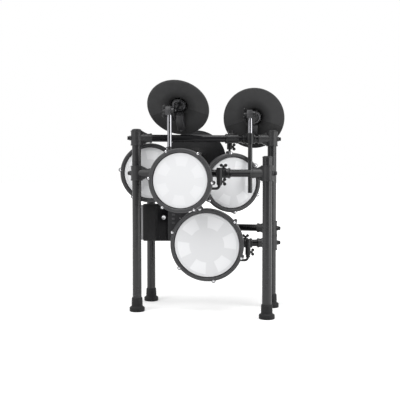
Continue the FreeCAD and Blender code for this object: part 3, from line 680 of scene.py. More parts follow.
# Deep and pale thread of each head, over the carrier and over its windows: painted shade over the carrier, painted
# light over the windows
# Their tones differ from pad to pad as painted light and shade for the light that each head gets.
carrier_shade_tone = dict.fromkeys(pad_radius, (0.83, 0.87)) | {"centre_tom": (0.78, 0.82)}
window_light_tone = dict.fromkeys(pad_radius, (0.95, 0.98)) | {"centre_tom": (0.82, 0.86)}


# Shape helpers
def rounded(outline):
    """Points of an outline whose (across, along, corner radius) rows become arcs."""
    count = len(outline)
    made = []
    for i, (x, z, corner_r) in enumerate(outline):
        corner = Vector((x, z))
        if corner_r == 0:
            made.append(corner)
            continue
        back = (Vector(outline[i - 1][:2]) - corner).normalized()
        ahead = (Vector(outline[(i + 1) % count][:2]) - corner).normalized()
        half = back.angle(ahead) / 2
        cut = corner_r / math.tan(half)
        start, end = corner + back * cut, corner + ahead * cut
        centre = corner + (back + ahead).normalized() * (corner_r / math.sin(half))
        for share in arc_shares:
            spoke = start.lerp(end, share) - centre
            made.append(centre + spoke.normalized() * corner_r)
    return made


def spun(outline, closed, steps):
    """Turned shape about Z from an outline of (radius, height, corner radius) rows."""
    shape = bmesh.new()
    verts = [shape.verts.new((p.x, 0, p.y)) for p in rounded(outline)]
    pairs = list(zip(verts, verts[1:])) + ([(verts[-1], verts[0])] if closed else [])
    edges = [shape.edges.new(pair) for pair in pairs]
    bmesh.ops.spin(shape, geom=verts + edges, cent=(0, 0, 0), axis=up, angle=math.tau, steps=steps,
                   use_merge=True, use_duplicate=False)
    bmesh.ops.remove_doubles(shape, verts=shape.verts[:], dist=merge_gap)
    return shape


def band(inner_r, outer_r, low, high, corners, steps):
    """Turned ring; its corner radii run from the low inner edge, out and up, to the high inner one."""
    edges = ((inner_r, low), (outer_r, low), (outer_r, high), (inner_r, high))
    return spun([(*edge, corner_r) for edge, corner_r in zip(edges, corners)], True, steps)


def raised_rim(wall_r, proud, width, edge_r):
    """Ring that stands proud of a round wall."""
    return band(wall_r - rim_sunk, wall_r + proud, 0.0, width, (0, edge_r, edge_r, 0), steps=56)


def plug(radius, start, end, corners, steps):
    """Turned disc with a corner radius at each of its two edges."""
    outline = [(0.0, start, 0), (radius, start, corners[0]), (radius, end, corners[1]), (0.0, end, 0)]
    return spun(outline, False, steps)


def soften(shape, offset, segments=2):
    """Bevel on all edges."""
    bmesh.ops.bevel(shape, geom=shape.edges[:], offset=offset, segments=segments, profile=0.5,
                    affect="EDGES", material=-1)


def bevelled_block(size, centre, bevel):
    """Box about a centre with softened edges."""
    shape = bmesh.new()
    bmesh.ops.create_cube(shape, size=1.0, matrix=Matrix.Translation(centre) @ Matrix.Diagonal((*size, 1)))
    soften(shape, bevel)
    return shape


def prism(sides, radius, low, high, bevel=0):
    """Flat-sided bar about Z, with softened edges where a bevel is given."""
    shape = bmesh.new()
    middle = Matrix.Translation((0, 0, (low + high) / 2))
    bmesh.ops.create_cone(shape, cap_ends=True, segments=sides, radius1=radius, radius2=radius,
                          depth=high - low, matrix=middle)
    if bevel:
        soften(shape, bevel)
    return shape


def joined(shapes):
    """One bmesh from several, each with its place already in it."""
    whole = bmesh.new()
    for shape in shapes:
        mesh = bpy.data.meshes.new("joining")
        shape.to_mesh(mesh)
        shape.free()
        whole.from_mesh(mesh)
        bpy.data.meshes.remove(mesh)
    return whole


def moved(shape, matrix):
    """The same shape in its place."""
    bmesh.ops.transform(shape, matrix=matrix, verts=shape.verts[:])
    return shape


def turned(shape, share):
    """The same shape turned about Z by a share of a full turn."""
    return moved(shape, Matrix.Rotation(math.tau * share, 4, "Z"))


def linked(name, shape, *finishes):
    """Object from a shape and its finishes."""
    mesh = bpy.data.meshes.new(name)
    shape.to_mesh(mesh)
    shape.free()
    for finish in finishes:
        mesh.materials.append(finish)
    piece = bpy.data.objects.new(name, mesh)
    bpy.context.scene.collection.objects.link(piece)
    return piece


def make_piece(name, shape, body, finish, slot, mapped_from=None, open_sheet=False, far_finish=None):
    """Object from a shape: outward faces, soft shading, its map and its body; its slot is not used.

    Faces that look against the map's Z take the far finish, where there is one.
    """
    bmesh.ops.remove_doubles(shape, verts=shape.verts[:], dist=merge_gap)
    if not open_sheet:
        bmesh.ops.recalc_face_normals(shape, faces=shape.faces[:])
    if mapped_from is not None:
        into = mapped_from.inverted()
        layer = shape.loops.layers.uv.new("face")
        for face in shape.faces:
            for loop in face.loops:
                loop[layer].uv = (into @ loop.vert.co).xy
    if far_finish is not None:
        out = mapped_from.to_3x3().col[2]
        for face in shape.faces:
            face.material_index = int(face.normal.dot(out) < far_side_dot)
    piece = linked(name, shape, *[f for f in (finish, far_finish) if f is not None])
    piece.data.shade_smooth()
    piece.data.set_sharp_from_angle(angle=sharp_turn)
    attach(piece, body)
    return piece


def dress(finish, *nodes):
    """Finish on solids that stay as they are."""
    for node in nodes:
        materials = frame["nodes"][node].data.materials
        materials.clear()
        materials.append(finish)


# Rack pieces
def post_cap(post, end_z):
    """Domed end cap that sits over the top of a post."""
    outer_r, inner_r = tube_r + cap_wall, tube_r + slip_gap
    outline = [
        (0.0, cap_crown_h, 0), (cap_brow_r, cap_brow_h, 0), (outer_r, -cap_wall, 0.0012),
        (outer_r, -cap_skirt, 0.0004), (inner_r, -cap_skirt, 0), (inner_r, 0.0, 0), (0.0, 0.0, 0),
    ]
    return moved(spun(outline, False, steps=48), Matrix.Translation(post + up * end_z))


def rubber_foot(post):
    """Flared foot with a ribbed neck and a groove round the flange."""
    bore_r = tube_r + slip_gap
    outline = [(0.0, 0.0, 0), (foot_flange_r, 0.0, 0.0035)]
    for share, depth, corner_r in ((0.45, 0.0, 0.001), (0.5, foot_groove, 0.0006), (0.55, 0.0, 0.001)):
        outline.append((foot_flange_r - depth, foot_flange_h * share, corner_r))
    waist_z = foot_flange_h + foot_shoulder_h
    outline += [(foot_flange_r, foot_flange_h, 0.005), (foot_waist_r, waist_z, 0.004)]
    slope = (foot_mouth_r - foot_waist_r) / (foot_h - foot_flange_h - foot_shoulder_h)
    for i in range(foot_rib_count):
        z = foot_flange_h + foot_rib_start + i * foot_rib_pitch
        wall = foot_waist_r + slope * (z - foot_flange_h - foot_shoulder_h)
        for rise, proud in ((0.0, 0.0), (0.001, foot_rib_proud), (0.0025, foot_rib_proud), (0.0035, 0.0)):
            outline.append((wall + proud, z + rise, 0))
    outline += [
        (foot_mouth_r, foot_h - 0.002, 0), (foot_mouth_r - 0.0008, foot_h, 0), (bore_r, foot_h, 0),
        (bore_r, foot_sole_t, 0), (0.0, foot_sole_t, 0),
    ]
    return moved(spun(outline, False, steps=64), Matrix.Translation(post))


def clamp_bolt(place):
    """Flanged hexagon bolt with a socket in its head; Z runs out of the clamp."""
    washer_top, head_top = boss_reach + bolt_washer_t, boss_reach + bolt_head_top
    washer = band(bolt_hole_r, bolt_washer_r, boss_reach, washer_top, (0, 0.0004, 0.0005, 0), steps=40)
    head = prism(6, bolt_head_r, washer_top, head_top, bevel=0.0009)
    ends = [f for f in head.faces
            if f.normal.z > flat_end_dot and f.calc_center_median().z > head_top - merge_gap]
    bmesh.ops.inset_region(head, faces=ends, thickness=bolt_key_rim, depth=0.0)
    bmesh.ops.inset_region(head, faces=ends, thickness=bolt_key_draft, depth=-bolt_key_depth)
    shank = prism(24, bolt_shank_r, tube_r + 0.0003, boss_reach + 0.001)
    return moved(joined([washer, head, shank]), place)


def clamp_trim(post, along, height):
    """Raised rims at the ends of a tee clamp and the ribs on its web."""
    place = place_of(along, up.cross(along), up, post + up * height)
    signs = (-1, 1)
    shapes = []
    for sign in signs:
        rim = raised_rim(clamp_r, clamp_rim_proud, clamp_rim_w, 0.0006)
        rim_z = sign * (clamp_half - clamp_rim_w / 2) - clamp_rim_w / 2
        shapes.append(moved(rim, place @ Matrix.Translation((0, 0, rim_z))))
    collar = raised_rim(socket_r, collar_proud, collar_w, 0.0006)
    shapes.append(moved(collar, place @ facing(bar_dir, Vector((socket_reach - collar_back, 0, 0)))))
    for sign in signs:
        for x in web_rib_stations:
            reach = socket_r + (clamp_half * web_foot_share - socket_r) * (web_run - x) / (web_run - clamp_r)
            rib_h = reach - web_rib_root
            for end in signs:
                centre = Vector((x, sign * web_half, end * (web_rib_root + rib_h / 2)))
                shapes.append(moved(bevelled_block((0.0018, 0.003, rib_h), centre, 0.0005), place))
    return joined(shapes)


def dress_rack():
    """Finishes, caps, feet, bolts and trim of the posts, bars and clamps."""
    dress(coat, "left_main_post", "right_main_post", "left_wing_post", "right_wing_post")
    dress(bar_coat, "top_bar", "snare_arm", "left_wing_bar", "right_wing_bar")
    dress(clamp_nylon, "main_clamps", "left_wing_clamps", "right_wing_clamps")
    for group, (body, stands, post_node, foot_node) in rack_groups.items():
        end_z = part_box(post_node)[1].z
        caps = joined([post_cap(post, end_z) for post in stands])
        make_piece(group + "_post_caps", caps, body, clamp_nylon, "clamp")
        soles = joined([rubber_foot(post) for post in stands])
        feet = make_piece(group + "_rubber_feet", soles, body, foot_rubber, "foot")
        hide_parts(foot_node)
        bolts = [clamp_bolt(facing(-along, post + up * z)) for post, along, z in tees[group]]
        screws = make_piece(group + "_clamp_bolts", joined(bolts), body, bolt_black, "bolt")
        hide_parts(group + "_bolts")
        trim = joined([clamp_trim(*tee) for tee in tees[group]])
        make_piece(group + "_clamp_trim", trim, body, clamp_nylon, "clamp")


# Clamps beside a tube
def grip_trim(beside, along, screw):
    """End bands, split line and nut of a clamp that grips a bar."""
    place = place_of(along, screw.cross(along), screw, beside)
    wall_r = bar_r + grip_wall
    shapes = []
    for start in (-grip_half, grip_half - grip_band_w):
        rim = raised_rim(wall_r, grip_band_proud, grip_band_w, 0.0007)
        shapes.append(moved(rim, place @ facing(bar_dir, Vector((start, 0, 0)))))
    for sign in (-1, 1):
        centre = Vector((0, sign * (wall_r + 0.0006), 0))
        flange = bevelled_block((grip_half * 1.2, grip_flange_d, grip_flange_h), centre, 0.0010)
        shapes.append(moved(flange, place))
    nut = prism(6, grip_nut_r, wall_r - 0.002, wall_r + grip_wall - 0.0004, bevel=0.0009)
    return joined(shapes + [moved(nut, place)])


def rod_sleeve(corner, end_z):
    """Ribbed sleeve on the upright of a pad's rod, between its bend and its clamp."""
    low_z = corner.z + sleeve_lift
    pitch = (end_z - low_z) / sleeve_ribs
    bore_r, groove_r = rod_r + sleeve_fit, sleeve_r - sleeve_groove
    outline = [(bore_r, low_z, 0), (sleeve_r - 0.0016, low_z, 0.0006)]
    for i in range(sleeve_ribs):
        z = low_z + i * pitch
        for share, radius in ((0.12, groove_r), (0.25, sleeve_r), (0.85, sleeve_r), (0.97, groove_r)):
            outline.append((radius, z + pitch * share, 0))
    outline.append((bore_r, end_z, 0))
    return moved(spun(outline, True, steps=40), Matrix.Translation((corner.x, corner.y, 0)))


def grips_of(body):
    """Trims of the clamps that one body of the rack carries."""
    made = []
    for pad, (origin, along, height, carrier) in hung_from.items():
        if carrier == body:
            corner = pad_places[pad] @ Vector((*rod_at[pad], -rod_back))
            made.append(grip_trim(beside_tube(origin, along, height, corner), along, up))
            if pad in sleeved_rods:
                made.append(rod_sleeve(corner, height - bar_r - grip_wall - 0.002))
    for name, (origin, along, height, carrier) in armed_from.items():
        if carrier == body:
            hold = cymbal_places[name] @ pivot
            beside = beside_tube(origin, along, height, hold)
            away = beside - Vector((hold.x, hold.y, height))
            made.append(grip_trim(beside, along, away.normalized()))
    return made


def dress_grips():
    """Trims and finishes of the clamps on the tubes."""
    dress(holder_steel, *[pad + "_holder" for pad in pad_radius])
    dress(holder_steel, *[name + "_cymbal_clamp" for name in cymbal_places])
    for body in ("main_frame", "left_wing", "right_wing"):
        make_piece(body + "_grip_trim", joined(grips_of(body)), body, holder_steel, "holder")


# Pad pieces
def skirt_radius(radius):
    """Radius of a head's skirt, inside the hoop."""
    return radius - hoop_width - skirt_gap


def shell_bore(radius):
    """Radius inside a pad's shell."""
    return radius - hoop_width - shell_gap - shell_wall


def mesh_head(radius):
    """Stretched mesh: a flat face that rolls over the shell's edge into its skirt."""
    skirt_r = skirt_radius(radius)
    outline = [(0.0, -head_drop, 0), (skirt_r, -head_drop, head_edge_r), (skirt_r, -hoop_lip_h, 0)]
    shape = spun(outline, False, steps=96)
    bmesh.ops.recalc_face_normals(shape, faces=shape.faces[:])
    middle = min(shape.faces, key=lambda f: f.calc_center_median().xy.length)
    if middle.normal.z < 0:
        bmesh.ops.reverse_faces(shape, faces=shape.faces[:])
    return shape


def flesh_ring(radius):
    """Ring that the mesh is bonded into, under the hoop."""
    near, far = skirt_radius(radius) - flesh_ring_bond, skirt_radius(radius) + flesh_ring_w
    low = -hoop_lip_h - flesh_ring_h
    outline = [(near, -hoop_lip_h, 0), (far, -hoop_lip_h - flesh_ring_fall, 0.0008), (far, low, 0.0008),
               (near, low, 0)]
    return spun(outline, True, steps=96)


def foam_wedge(inner_r, turn_deg, low, high):
    """Foam that stands up into one window of the trigger carrier."""
    shape = bmesh.new()
    near, far = inner_r * window_foot_share + foam_fit, inner_r - carrier_ring_w - foam_fit
    corners = [shape.verts.new(p) for p in ((near, 0, low), (far, 0, low), (far, 0, high), (near, 0, high))]
    section = shape.faces.new(corners)
    bmesh.ops.spin(shape, geom=[section], cent=(0, 0, 0), axis=up, angle=math.radians(window_deg), steps=8,
                   use_merge=False, use_duplicate=False)
    return moved(shape, Matrix.Rotation(math.radians(turn_deg - window_deg / 2), 4, "Z"))


def foam_bed(radius, lug_deg):
    """White foam bonded under the trigger carrier, with a wedge in each of its windows."""
    inner_r = shell_bore(radius)
    top = -carrier_low - foam_under
    bed_r = inner_r - ledge_w - foam_bed_gap
    shapes = [plug(bed_r, top, top - foam_t, (foam_edge_r, foam_edge_r), steps=72)]
    for i in range(lug_count):
        turn_deg = lug_deg + 360 * (i + 0.5) / lug_count
        shapes.append(foam_wedge(inner_r, turn_deg, top - foam_t / 2, top + carrier_t))
    return joined(shapes)


def tension_screw():
    """Washer, flange, square key head and shank of one screw, seated at zero."""
    washer = band(screw_r + slip_gap, screw_washer_r, 0.0, screw_washer_t, (0, 0.0003, 0.0004, 0), steps=32)
    flange = spun([(0.0, screw_washer_t, 0), (screw_flange_r, screw_washer_t, 0),
                   (screw_flange_r, screw_flange_top, 0.0004), (screw_neck_r, screw_neck_top, 0),
                   (0.0, screw_neck_top, 0)], False, steps=32)
    key = turned(prism(4, screw_key_r, screw_neck_top - 0.0002, screw_key_top, bevel=0.0005), 1 / 8)
    shank = prism(16, screw_r, screw_low, screw_washer_t + 0.0002)
    return joined([washer, flange, key, shank])


def lug_points(pad):
    """Seats of the tension screws in the pad's frame."""
    reach = pad_radius[pad] - ear_inset
    turns = [math.radians(lug_turn_deg[pad] + 360 * i / lug_count) for i in range(lug_count)]
    return [Vector((reach * math.cos(a), reach * math.sin(a), -ear_drop)) for a in turns]


def dress_pads():
    """Mesh heads, rings, foam and screws of the pads, and the finishes of their solids."""
    for pad, radius in pad_radius.items():
        place, lug_deg = pad_places[pad], lug_turn_deg[pad]
        dress(hoop_rubber, pad + "_hoop")
        dress(shell_black, pad + "_shell")
        dress(carrier_grey, pad + "_trigger_frame")
        weave = woven(pad + "_weave", carrier_shade_tone[pad], window_light_tone[pad], shell_bore(radius), lug_deg)
        cloth = make_piece(pad + "_mesh", moved(mesh_head(radius), place), pad, weave, "mesh", place, True)
        cut = 2 * (skirt_radius(radius) + hoop_lip_h - head_drop)
        ring = make_piece(pad + "_flesh_ring", moved(flesh_ring(radius), place), pad, shell_black, "shell")
        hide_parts(pad + "_head")
        foam = make_piece(pad + "_foam", moved(foam_bed(radius, lug_deg), place), pad, foam_white, "trigger")
        heads = [moved(tension_screw(), place @ Matrix.Translation(p)) for p in lug_points(pad)]
        screws = make_piece(pad + "_tension_screws", joined(heads), pad, chrome, "screw")
        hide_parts(pad + "_screws")


# Cymbal pieces
def under_z(radius):
    """Height of the cymbal's hollow side at a radius between bell and rim."""
    share = (radius - bell_r) / (rim_r - rim_t - bell_r)
    return -bow_rise + bow_rise * share


def cymbal_disc():
    """Rubber disc with a bell that runs softly into the bow, and grooves over it."""
    bell_edge_r = cymbal_t * 0.9
    outline = [
        (stem_hole_r, -recess, 0), (hub_r, -recess, 0.002), (bell_r, -bow_rise, 0.016),
        (rim_r - rim_t, 0.0, 0.001), (rim_r, 0.0, 0.0025), (rim_r, -rim_t, 0.0025),
    ]
    top_span = rim_r - bell_r - cymbal_t
    for i in range(groove_count):
        r = rim_r - groove_margin - i * (top_span - 2 * groove_margin) / groove_count
        z = -rim_t - (rim_r - r) / top_span * (bow_rise + cymbal_t - rim_t)
        outline += [(r + groove_half, z, 0), (r, z + groove_depth, 0), (r - groove_half, z, 0)]
    outline += [
        (bell_r + cymbal_t, -bow_rise - cymbal_t, bell_edge_r), (hub_r, -recess - cymbal_t, bell_edge_r),
        (stem_hole_r, -recess - cymbal_t, 0),
    ]
    return spun(outline, True, steps=120)


def cymbal_hub():
    """Ring round the stem with ribs that run down the bell."""
    low = -recess - hub_sunk
    shapes = [band(hub_bore_r, hub_r - 0.0004, low, hub_top, (0, 0, 0.0012, 0.0012), steps=64)]
    for i in range(hub_rib_count):
        rib = bevelled_block(hub_rib, Vector((hub_rib_reach, 0, hub_top - hub_rib_drop)), 0.0007)
        shapes.append(turned(rib, (i + 0.5) / hub_rib_count))
    for i in range(hub_boss_count):
        boss = plug(hub_boss_r, low, hub_top + hub_boss_proud, (0, 0.0006), steps=24)
        moved(boss, Matrix.Translation(((hub_r + hub_bore_r) / 2, 0, 0)))
        shapes.append(turned(boss, i / hub_boss_count))
    return joined(shapes)


def zone_ridges():
    """Raised lines on the hollow side where its lower zone starts."""
    slope = math.atan2(bow_rise, rim_r - rim_t - bell_r)
    middle = (ridge_near + ridge_far) / 2
    tilt = Matrix.Translation((middle, 0, under_z(middle))) @ Matrix.Rotation(-slope, 4, "Y")
    shapes = []
    for turn_deg in (-zone_deg, 180.0 + zone_deg):
        line = bevelled_block((ridge_far - ridge_near, ridge_w, ridge_h), Vector((0, 0, 0)), 0.0003)
        shapes.append(moved(line, Matrix.Rotation(math.radians(turn_deg), 4, "Z") @ tilt))
    return joined(shapes)


def hub_crown():
    """Spoked ring over the hub, round the collar of the stem."""
    low, high = hub_top + crown_lift, hub_top + crown_top
    shapes = [band(crown_in_r, crown_out_r, low - crown_sunk, high, (0, 0, 0.0008, 0.0008), steps=56)]
    for i in range(crown_spoke_count):
        centre = Vector((crown_spoke_reach, 0, (low + high) / 2))
        spoke = bevelled_block((crown_spoke_l, crown_spoke_w, high - low), centre, 0.0006)
        shapes.append(turned(spoke, (i + 0.25) / crown_spoke_count))
    return joined(shapes)


def top_nut():
    """Wing nut on the stem's end over the playing side."""
    end = top_nut_seat - top_nut_h
    outline = [(stem_hole_r, top_nut_seat, 0), (top_nut_r, top_nut_seat, 0.0006),
               (top_nut_end_r, end, 0.0008), (stem_hole_r, end, 0)]
    shapes = [spun(outline, True, steps=40)]
    for sign in (-1, 1):
        lobe = plug(top_lobe_r, -top_lobe_half, top_lobe_half, (0.0012, 0.0012), steps=32)
        reach, drop = top_lobe_at
        shapes.append(moved(lobe, front_place(Vector((sign * reach, 0, top_nut_seat - drop)))))
        reach, drop = top_web_at
        shapes.append(bevelled_block(top_web, Vector((sign * reach, 0, top_nut_seat - drop)), 0.0009))
    return joined(shapes)


def jack_box():
    """Box for the socket, sunk into the hollow side, with a lid line."""
    length = jack_box_far - jack_box_near
    middle = Vector((0, -(jack_box_far + jack_box_near) / 2, 0))
    shape = bmesh.new()
    place = Matrix.Translation(middle) @ Matrix.Diagonal((jack_box_w, length, 1, 1))
    bmesh.ops.create_cube(shape, size=1.0, matrix=place)
    for vert in shape.verts:
        sunk = max(under_z(-vert.co.y), hub_top) - jack_box_sunk
        vert.co.z = jack_box_proud if vert.co.z > 0 else sunk
    soften(shape, 0.0028, segments=3)
    side, end = jack_lid_margin
    lid_at = middle + Vector((0, 0, jack_box_proud))
    lid = bevelled_block((jack_box_w - side, length - end, jack_lid_t), lid_at, 0.0006)
    return joined([shape, lid])


def jack_socket():
    """Plated nut round the socket's mouth and the barrel behind it."""
    outline = [
        (jack_r, -jack_barrel_l, 0), (jack_barrel_r, -jack_barrel_l, 0), (jack_barrel_r, 0.0, 0),
        (jack_nut_r, 0.0, 0), (jack_nut_r, jack_nut_t, 0.0004), (jack_r, jack_nut_t, 0.0003),
    ]
    return moved(spun(outline, True, steps=36), facing(to_front, Vector((0, -jack_box_far, jack_rise))))


def felt_ring():
    """Felt round the washer under the cymbal."""
    corners = (0, 0.0004, 0.0004, 0)
    return band(washer_r + slip_gap, washer_r + felt_out, -recess, -recess + felt_h, corners, steps=48)


def tilter_housing():
    """Squared housing round the arm's eye, toothed along its top."""
    width = housing_left + housing_right
    middle = (housing_right - housing_left) / 2
    shapes = [bevelled_block((width, housing_d, housing_h), Vector((middle, 0, 0)), 0.0026)]
    for i in range(tooth_count):
        tooth_at = Vector((middle + (i - tooth_count // 2) * tooth_pitch, 0, housing_h / 2))
        shapes.append(bevelled_block((tooth_w, housing_d * 0.84, tooth_h), tooth_at, 0.0007))
    for z in housing_rib_z:
        size = (width * 0.86, housing_rib_d, housing_rib_h)
        shapes.append(bevelled_block(size, Vector((middle, -housing_d / 2, z)), 0.0007))
    return joined(shapes)


def wing_nut():
    """Two broad thumb lobes on a stepped hub; it turns on the arm's bolt, which points to -X."""
    outline = [
        (0.0, 0.0, 0), (wing_hub_r, 0.0, 0.0006), (wing_hub_r, wing_hub_h, 0.0010),
        (wing_neck_r, wing_neck_low, 0), (wing_neck_r, wing_neck_top, 0.0012), (0.0, wing_neck_top, 0),
    ]
    hub_at = Vector((-housing_left + 0.0004, 0, 0))
    shapes = [moved(spun(outline, False, steps=40), facing(-bar_dir, hub_at))]
    lobe_stretch = Matrix.Diagonal((0.86, 1.15, 1.0, 1.0))
    wing_x = -housing_left - wing_out
    for sign in (-1, 1):
        lobe = plug(wing_r, -wing_half, wing_half, (0.0018, 0.0018), steps=36)
        shapes.append(moved(lobe, front_place(Vector((wing_x, 0, sign * wing_reach))) @ lobe_stretch))
        web_at = Vector((wing_x, 0, sign * wing_reach / 2))
        shapes.append(bevelled_block((wing_web_w, wing_web_d, wing_reach), web_at, 0.0014))
    return joined(shapes)


cymbal_fittings = (
    ("hub", cymbal_hub, tilter_black, "cymbal"),
    ("ridges", zone_ridges, box_grey, "cymbal"),
    ("crown", hub_crown, dark_plating, "cymbal"),
    ("top_nut", top_nut, chrome, "arm"),
    ("jack_box", jack_box, box_grey, "cymbal"),
    ("socket", jack_socket, chrome, "arm"),
    ("felt", felt_ring, felt, "tilter"),
)


def dress_cymbals():
    """Discs and fittings of the cymbals, and the finishes of their arms."""
    for name, place in cymbal_places.items():
        body, arm = name + "_cymbal", name + "_arm"
        eye = place @ pivot
        plating_low = armed_from[name][2] + tube_rise[name]
        dress(plated_arm(arm + "_finish", plating_low, eye.z - housing_h / 2), body + "_arm")
        dress(tilter_black, body + "_tilter")
        right = place.to_3x3().col[0]
        stand = place_of(right, up.cross(right), up, eye)
        make_piece(arm + "_housing", moved(tilter_housing(), stand), arm, housing_black, "tilter")
        make_piece(arm + "_wing_nut", moved(wing_nut(), stand), arm, tilter_black, "tilter")
        disc = make_piece(body + "_disc", moved(cymbal_disc(), place), body, cymbal_under, "cymbal", place,
                          far_finish=cymbal_top)
        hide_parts(body + "_pad")
        for fitting, shape_of, finish, slot in cymbal_fittings:
            make_piece(body + "_" + fitting, moved(shape_of(), place), body, finish, slot)


# Module pieces
def dial_skirt():
    """Ridged black skirt of the dial on its shaft."""
    ridge_at = Vector((dial_r - dial_ridge_in, 0, dial_skirt_h / 2))
    outline = [
        (0.0, dial_skirt_h, 0), (dial_cap_r + 0.001, dial_skirt_h, 0),
        (dial_r - 0.0010, dial_skirt_h - 0.0015, 0.0008), (dial_r - dial_ridge_in, 0.0012, 0),
        (dial_r, 0.0, 0), (0.0, 0.0, 0),
    ]
    shapes = [spun(outline, False, steps=64), prism(24, dial_shaft_r, dial_shaft_low, 0.0004)]
    for i in range(dial_ridge_count):
        ridge = bevelled_block((0.0014, 0.0011, dial_skirt_h - 0.003), ridge_at, 0.0003)
        shapes.append(turned(ridge, i / dial_ridge_count))
    return joined(shapes)


def dial_cap():
    """Bright dished cap of the dial."""
    foot = dial_skirt_h - 0.0006
    outline = [
        (0.0, dial_h - 0.0010, 0), (dial_cap_r - 0.0025, dial_h - 0.0006, 0),
        (dial_cap_r - 0.0006, dial_h, 0.0005), (dial_cap_r, foot, 0), (0.0, foot, 0),
    ]
    return spun(outline, False, steps=56)


def dial_pointer():
    """Dark line from the middle of the cap to its edge."""
    return bevelled_block((0.0012, 0.0052, 0.0008), Vector((0, 0.0044, dial_h - 0.0005)), 0.0003)


def panel_key(z):
    """Key of the panel with the flange that keeps it in."""
    cap_at = Vector((button_at.x, z, button_proud - button_d / 2))
    cap = bevelled_block((button_w, button_h, button_d), cap_at, 0.0012)
    flange_size = (button_w + button_flange, button_h + button_flange, button_flange_t)
    return joined([cap, bevelled_block(flange_size, Vector((button_at.x, z, button_flange_z)), 0.0003)])


def panel_lamp(i):
    """Small domed lamp of the panel, in its row and column."""
    outline = [(0.0, -0.001, 0), (lamp_r, -0.001, 0), (lamp_r, 0.0006, 0.0004), (0.0, 0.0009, 0)]
    row, column = divmod(i, lamp_columns)
    place = Matrix.Translation(lamp_at + Vector((lamp_pitch[0] * column, lamp_pitch[1] * row, 0.0)))
    return moved(spun(outline, False, steps=20), place)


def dress_module():
    """Panel details, dial and keys of the sound module."""
    dress(case_black, "module_case", "module_bracket")
    dress(panel_grey, "module_panel")
    face = module_at @ front_place(Vector((0, 0, 0)))
    dial_place = face @ Matrix.Translation((dial_at.x, dial_at.z, dial_gap))
    skirt = make_piece("module_dial_skirt", moved(dial_skirt(), dial_place), "dial", bolt_black, "dial")
    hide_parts("module_dial")
    make_piece("module_dial_cap", moved(dial_cap(), dial_place), "dial", dial_metal, "dial")
    make_piece("module_dial_pointer", moved(dial_pointer(), dial_place), "dial", bolt_black, "bolt")
    for i in range(3):
        number = str(i + 1)
        shape = moved(panel_key(button_at.z + i * button_pitch), face)
        key = make_piece("module_key_" + number, shape, "button_" + number, key_grey, "button")
        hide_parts("module_button_" + number)
    plate_finish = {
        "side_cover": (case_black, "module_case"),
        "dial_plate": (panel_black, "module_panel"),
        "side_highlight_rail": (rail_highlight_grey, "module_case"),
        "display": (window_glass, "module_panel"),
    }
    for name, (finish, slot) in plate_finish.items():
        plate = moved(bevelled_block(*module_plates[name]), face)
        make_piece("module_" + name, plate, "right_wing", finish, slot)
    seam_size = (seam_w, panel_h - 0.008, seam_w)
    seams = [bevelled_block(seam_size, Vector((x, panel_middle, 0.0003)), 0.0003) for x in seam_x]
    make_piece("module_panel_seams", moved(joined(seams), face), "right_wing", key_grey, "button")
    lamps = joined([panel_lamp(i) for i in range(lamp_count)])
    make_piece("module_lamps", moved(lamps, face), "right_wing", foam_white, "button")


# Stage
def soft_box(name, at, size, power):
    lamp = bpy.data.lights.new(name, "AREA")
    lamp.shape = "RECTANGLE"
    lamp.size, lamp.size_y = size
    lamp.energy = power
    holder = bpy.data.objects.new(name, lamp)
    holder.location = at
    holder.rotation_euler = (lit_point - at).to_track_quat("-Z", "Y").to_euler()
    bpy.context.scene.collection.objects.link(holder)


def seen_directly(tree):
    """One where a ray comes straight from the eye, a mirror or glass."""
    path = add(tree, "ShaderNodeLightPath")
    total = path.outputs["Is Camera Ray"]
    for other in ("Is Glossy Ray", "Is Transmission Ray"):
        total = calc(tree, "MAXIMUM", total, path.outputs[other])
    return total


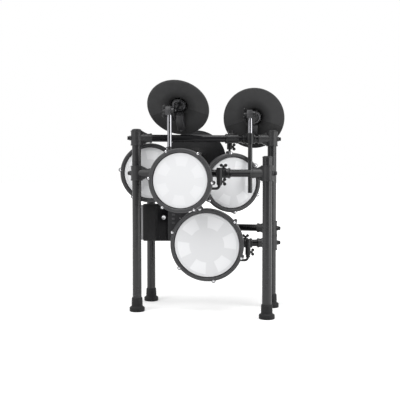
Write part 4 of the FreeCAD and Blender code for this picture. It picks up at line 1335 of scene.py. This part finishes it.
def white_room():
    world = bpy.data.worlds.new("white_room")
    world.use_nodes = True
    tree = world.node_tree
    tree.nodes.clear()
    mix = add(tree, "ShaderNodeMixShader", Fac=seen_directly(tree))
    for socket, strength in zip(mix.inputs[1:], (room_light, 1.0)):
        feed(tree, socket, add(tree, "ShaderNodeBackground", Color=white, Strength=strength).outputs[0])
    add(tree, "ShaderNodeOutputWorld", Surface=mix.outputs["Shader"])
    bpy.context.scene.world = world


def pale_floor():
    shape = bmesh.new()
    bmesh.ops.create_grid(shape, x_segments=1, y_segments=1, size=floor_half)
    material, tree, surface = shader("pale_floor")
    wire(tree, surface, Base_Color=floor_grey, Roughness=1.0, Specular_IOR_Level=0.0)
    fade = between(tree, reach_of(tree, coords_of(tree, "Object")), *floor_fade, floor_lift_near, 1.0)
    lift = calc(tree, "MULTIPLY", seen_directly(tree), fade)
    glow = add(tree, "ShaderNodeEmission", Color=white, Strength=lift)
    both = add(tree, "ShaderNodeAddShader")
    for socket, part in zip(both.inputs, (surface, glow)):
        feed(tree, socket, part.outputs[0])
    wire(tree, tree.nodes["Material Output"], Surface=both.outputs["Shader"])
    floor = linked("floor", shape, material)


def dark_card():
    """Card behind the camera that only mirrors see, so that plating has a dark middle."""
    shape = bmesh.new()
    bmesh.ops.create_grid(shape, x_segments=1, y_segments=1, size=0.5)
    bmesh.ops.scale(shape, vec=(card_w, card_h, 1), verts=shape.verts[:])
    moved(shape, front_place(Vector((camera_at.x, card_y, card_h / 2))))
    material, tree, surface = shader("card_black")
    wire(tree, surface, Base_Color=card_grey, Roughness=1.0)
    card = linked("dark_card", shape, material)
    card.visible_camera = card.visible_diffuse = card.visible_shadow = card.visible_transmission = False


def studio():
    """Lamps, room, floor and camera."""
    white_room()
    pale_floor()
    dark_card()
    for name, (at, size, power) in soft_boxes.items():
        soft_box(name, at, size, power)
    lens = bpy.data.cameras.new("photo_camera")
    lens.lens = camera_lens_mm
    lens.sensor_width = camera_sensor_mm
    camera = bpy.data.objects.new("photo_camera", lens)
    heading, pitch = math.radians(camera_heading_deg), math.radians(camera_pitch_deg)
    camera.location = camera_at
    camera.rotation_euler = (math.pi / 2 + pitch, 0.0, heading)
    bpy.context.scene.collection.objects.link(camera)
    bpy.context.scene.camera = camera
    bpy.context.scene.view_settings.view_transform = "Standard"


dress_rack()
dress_grips()
dress_pads()
dress_cymbals()
dress_module()
studio()
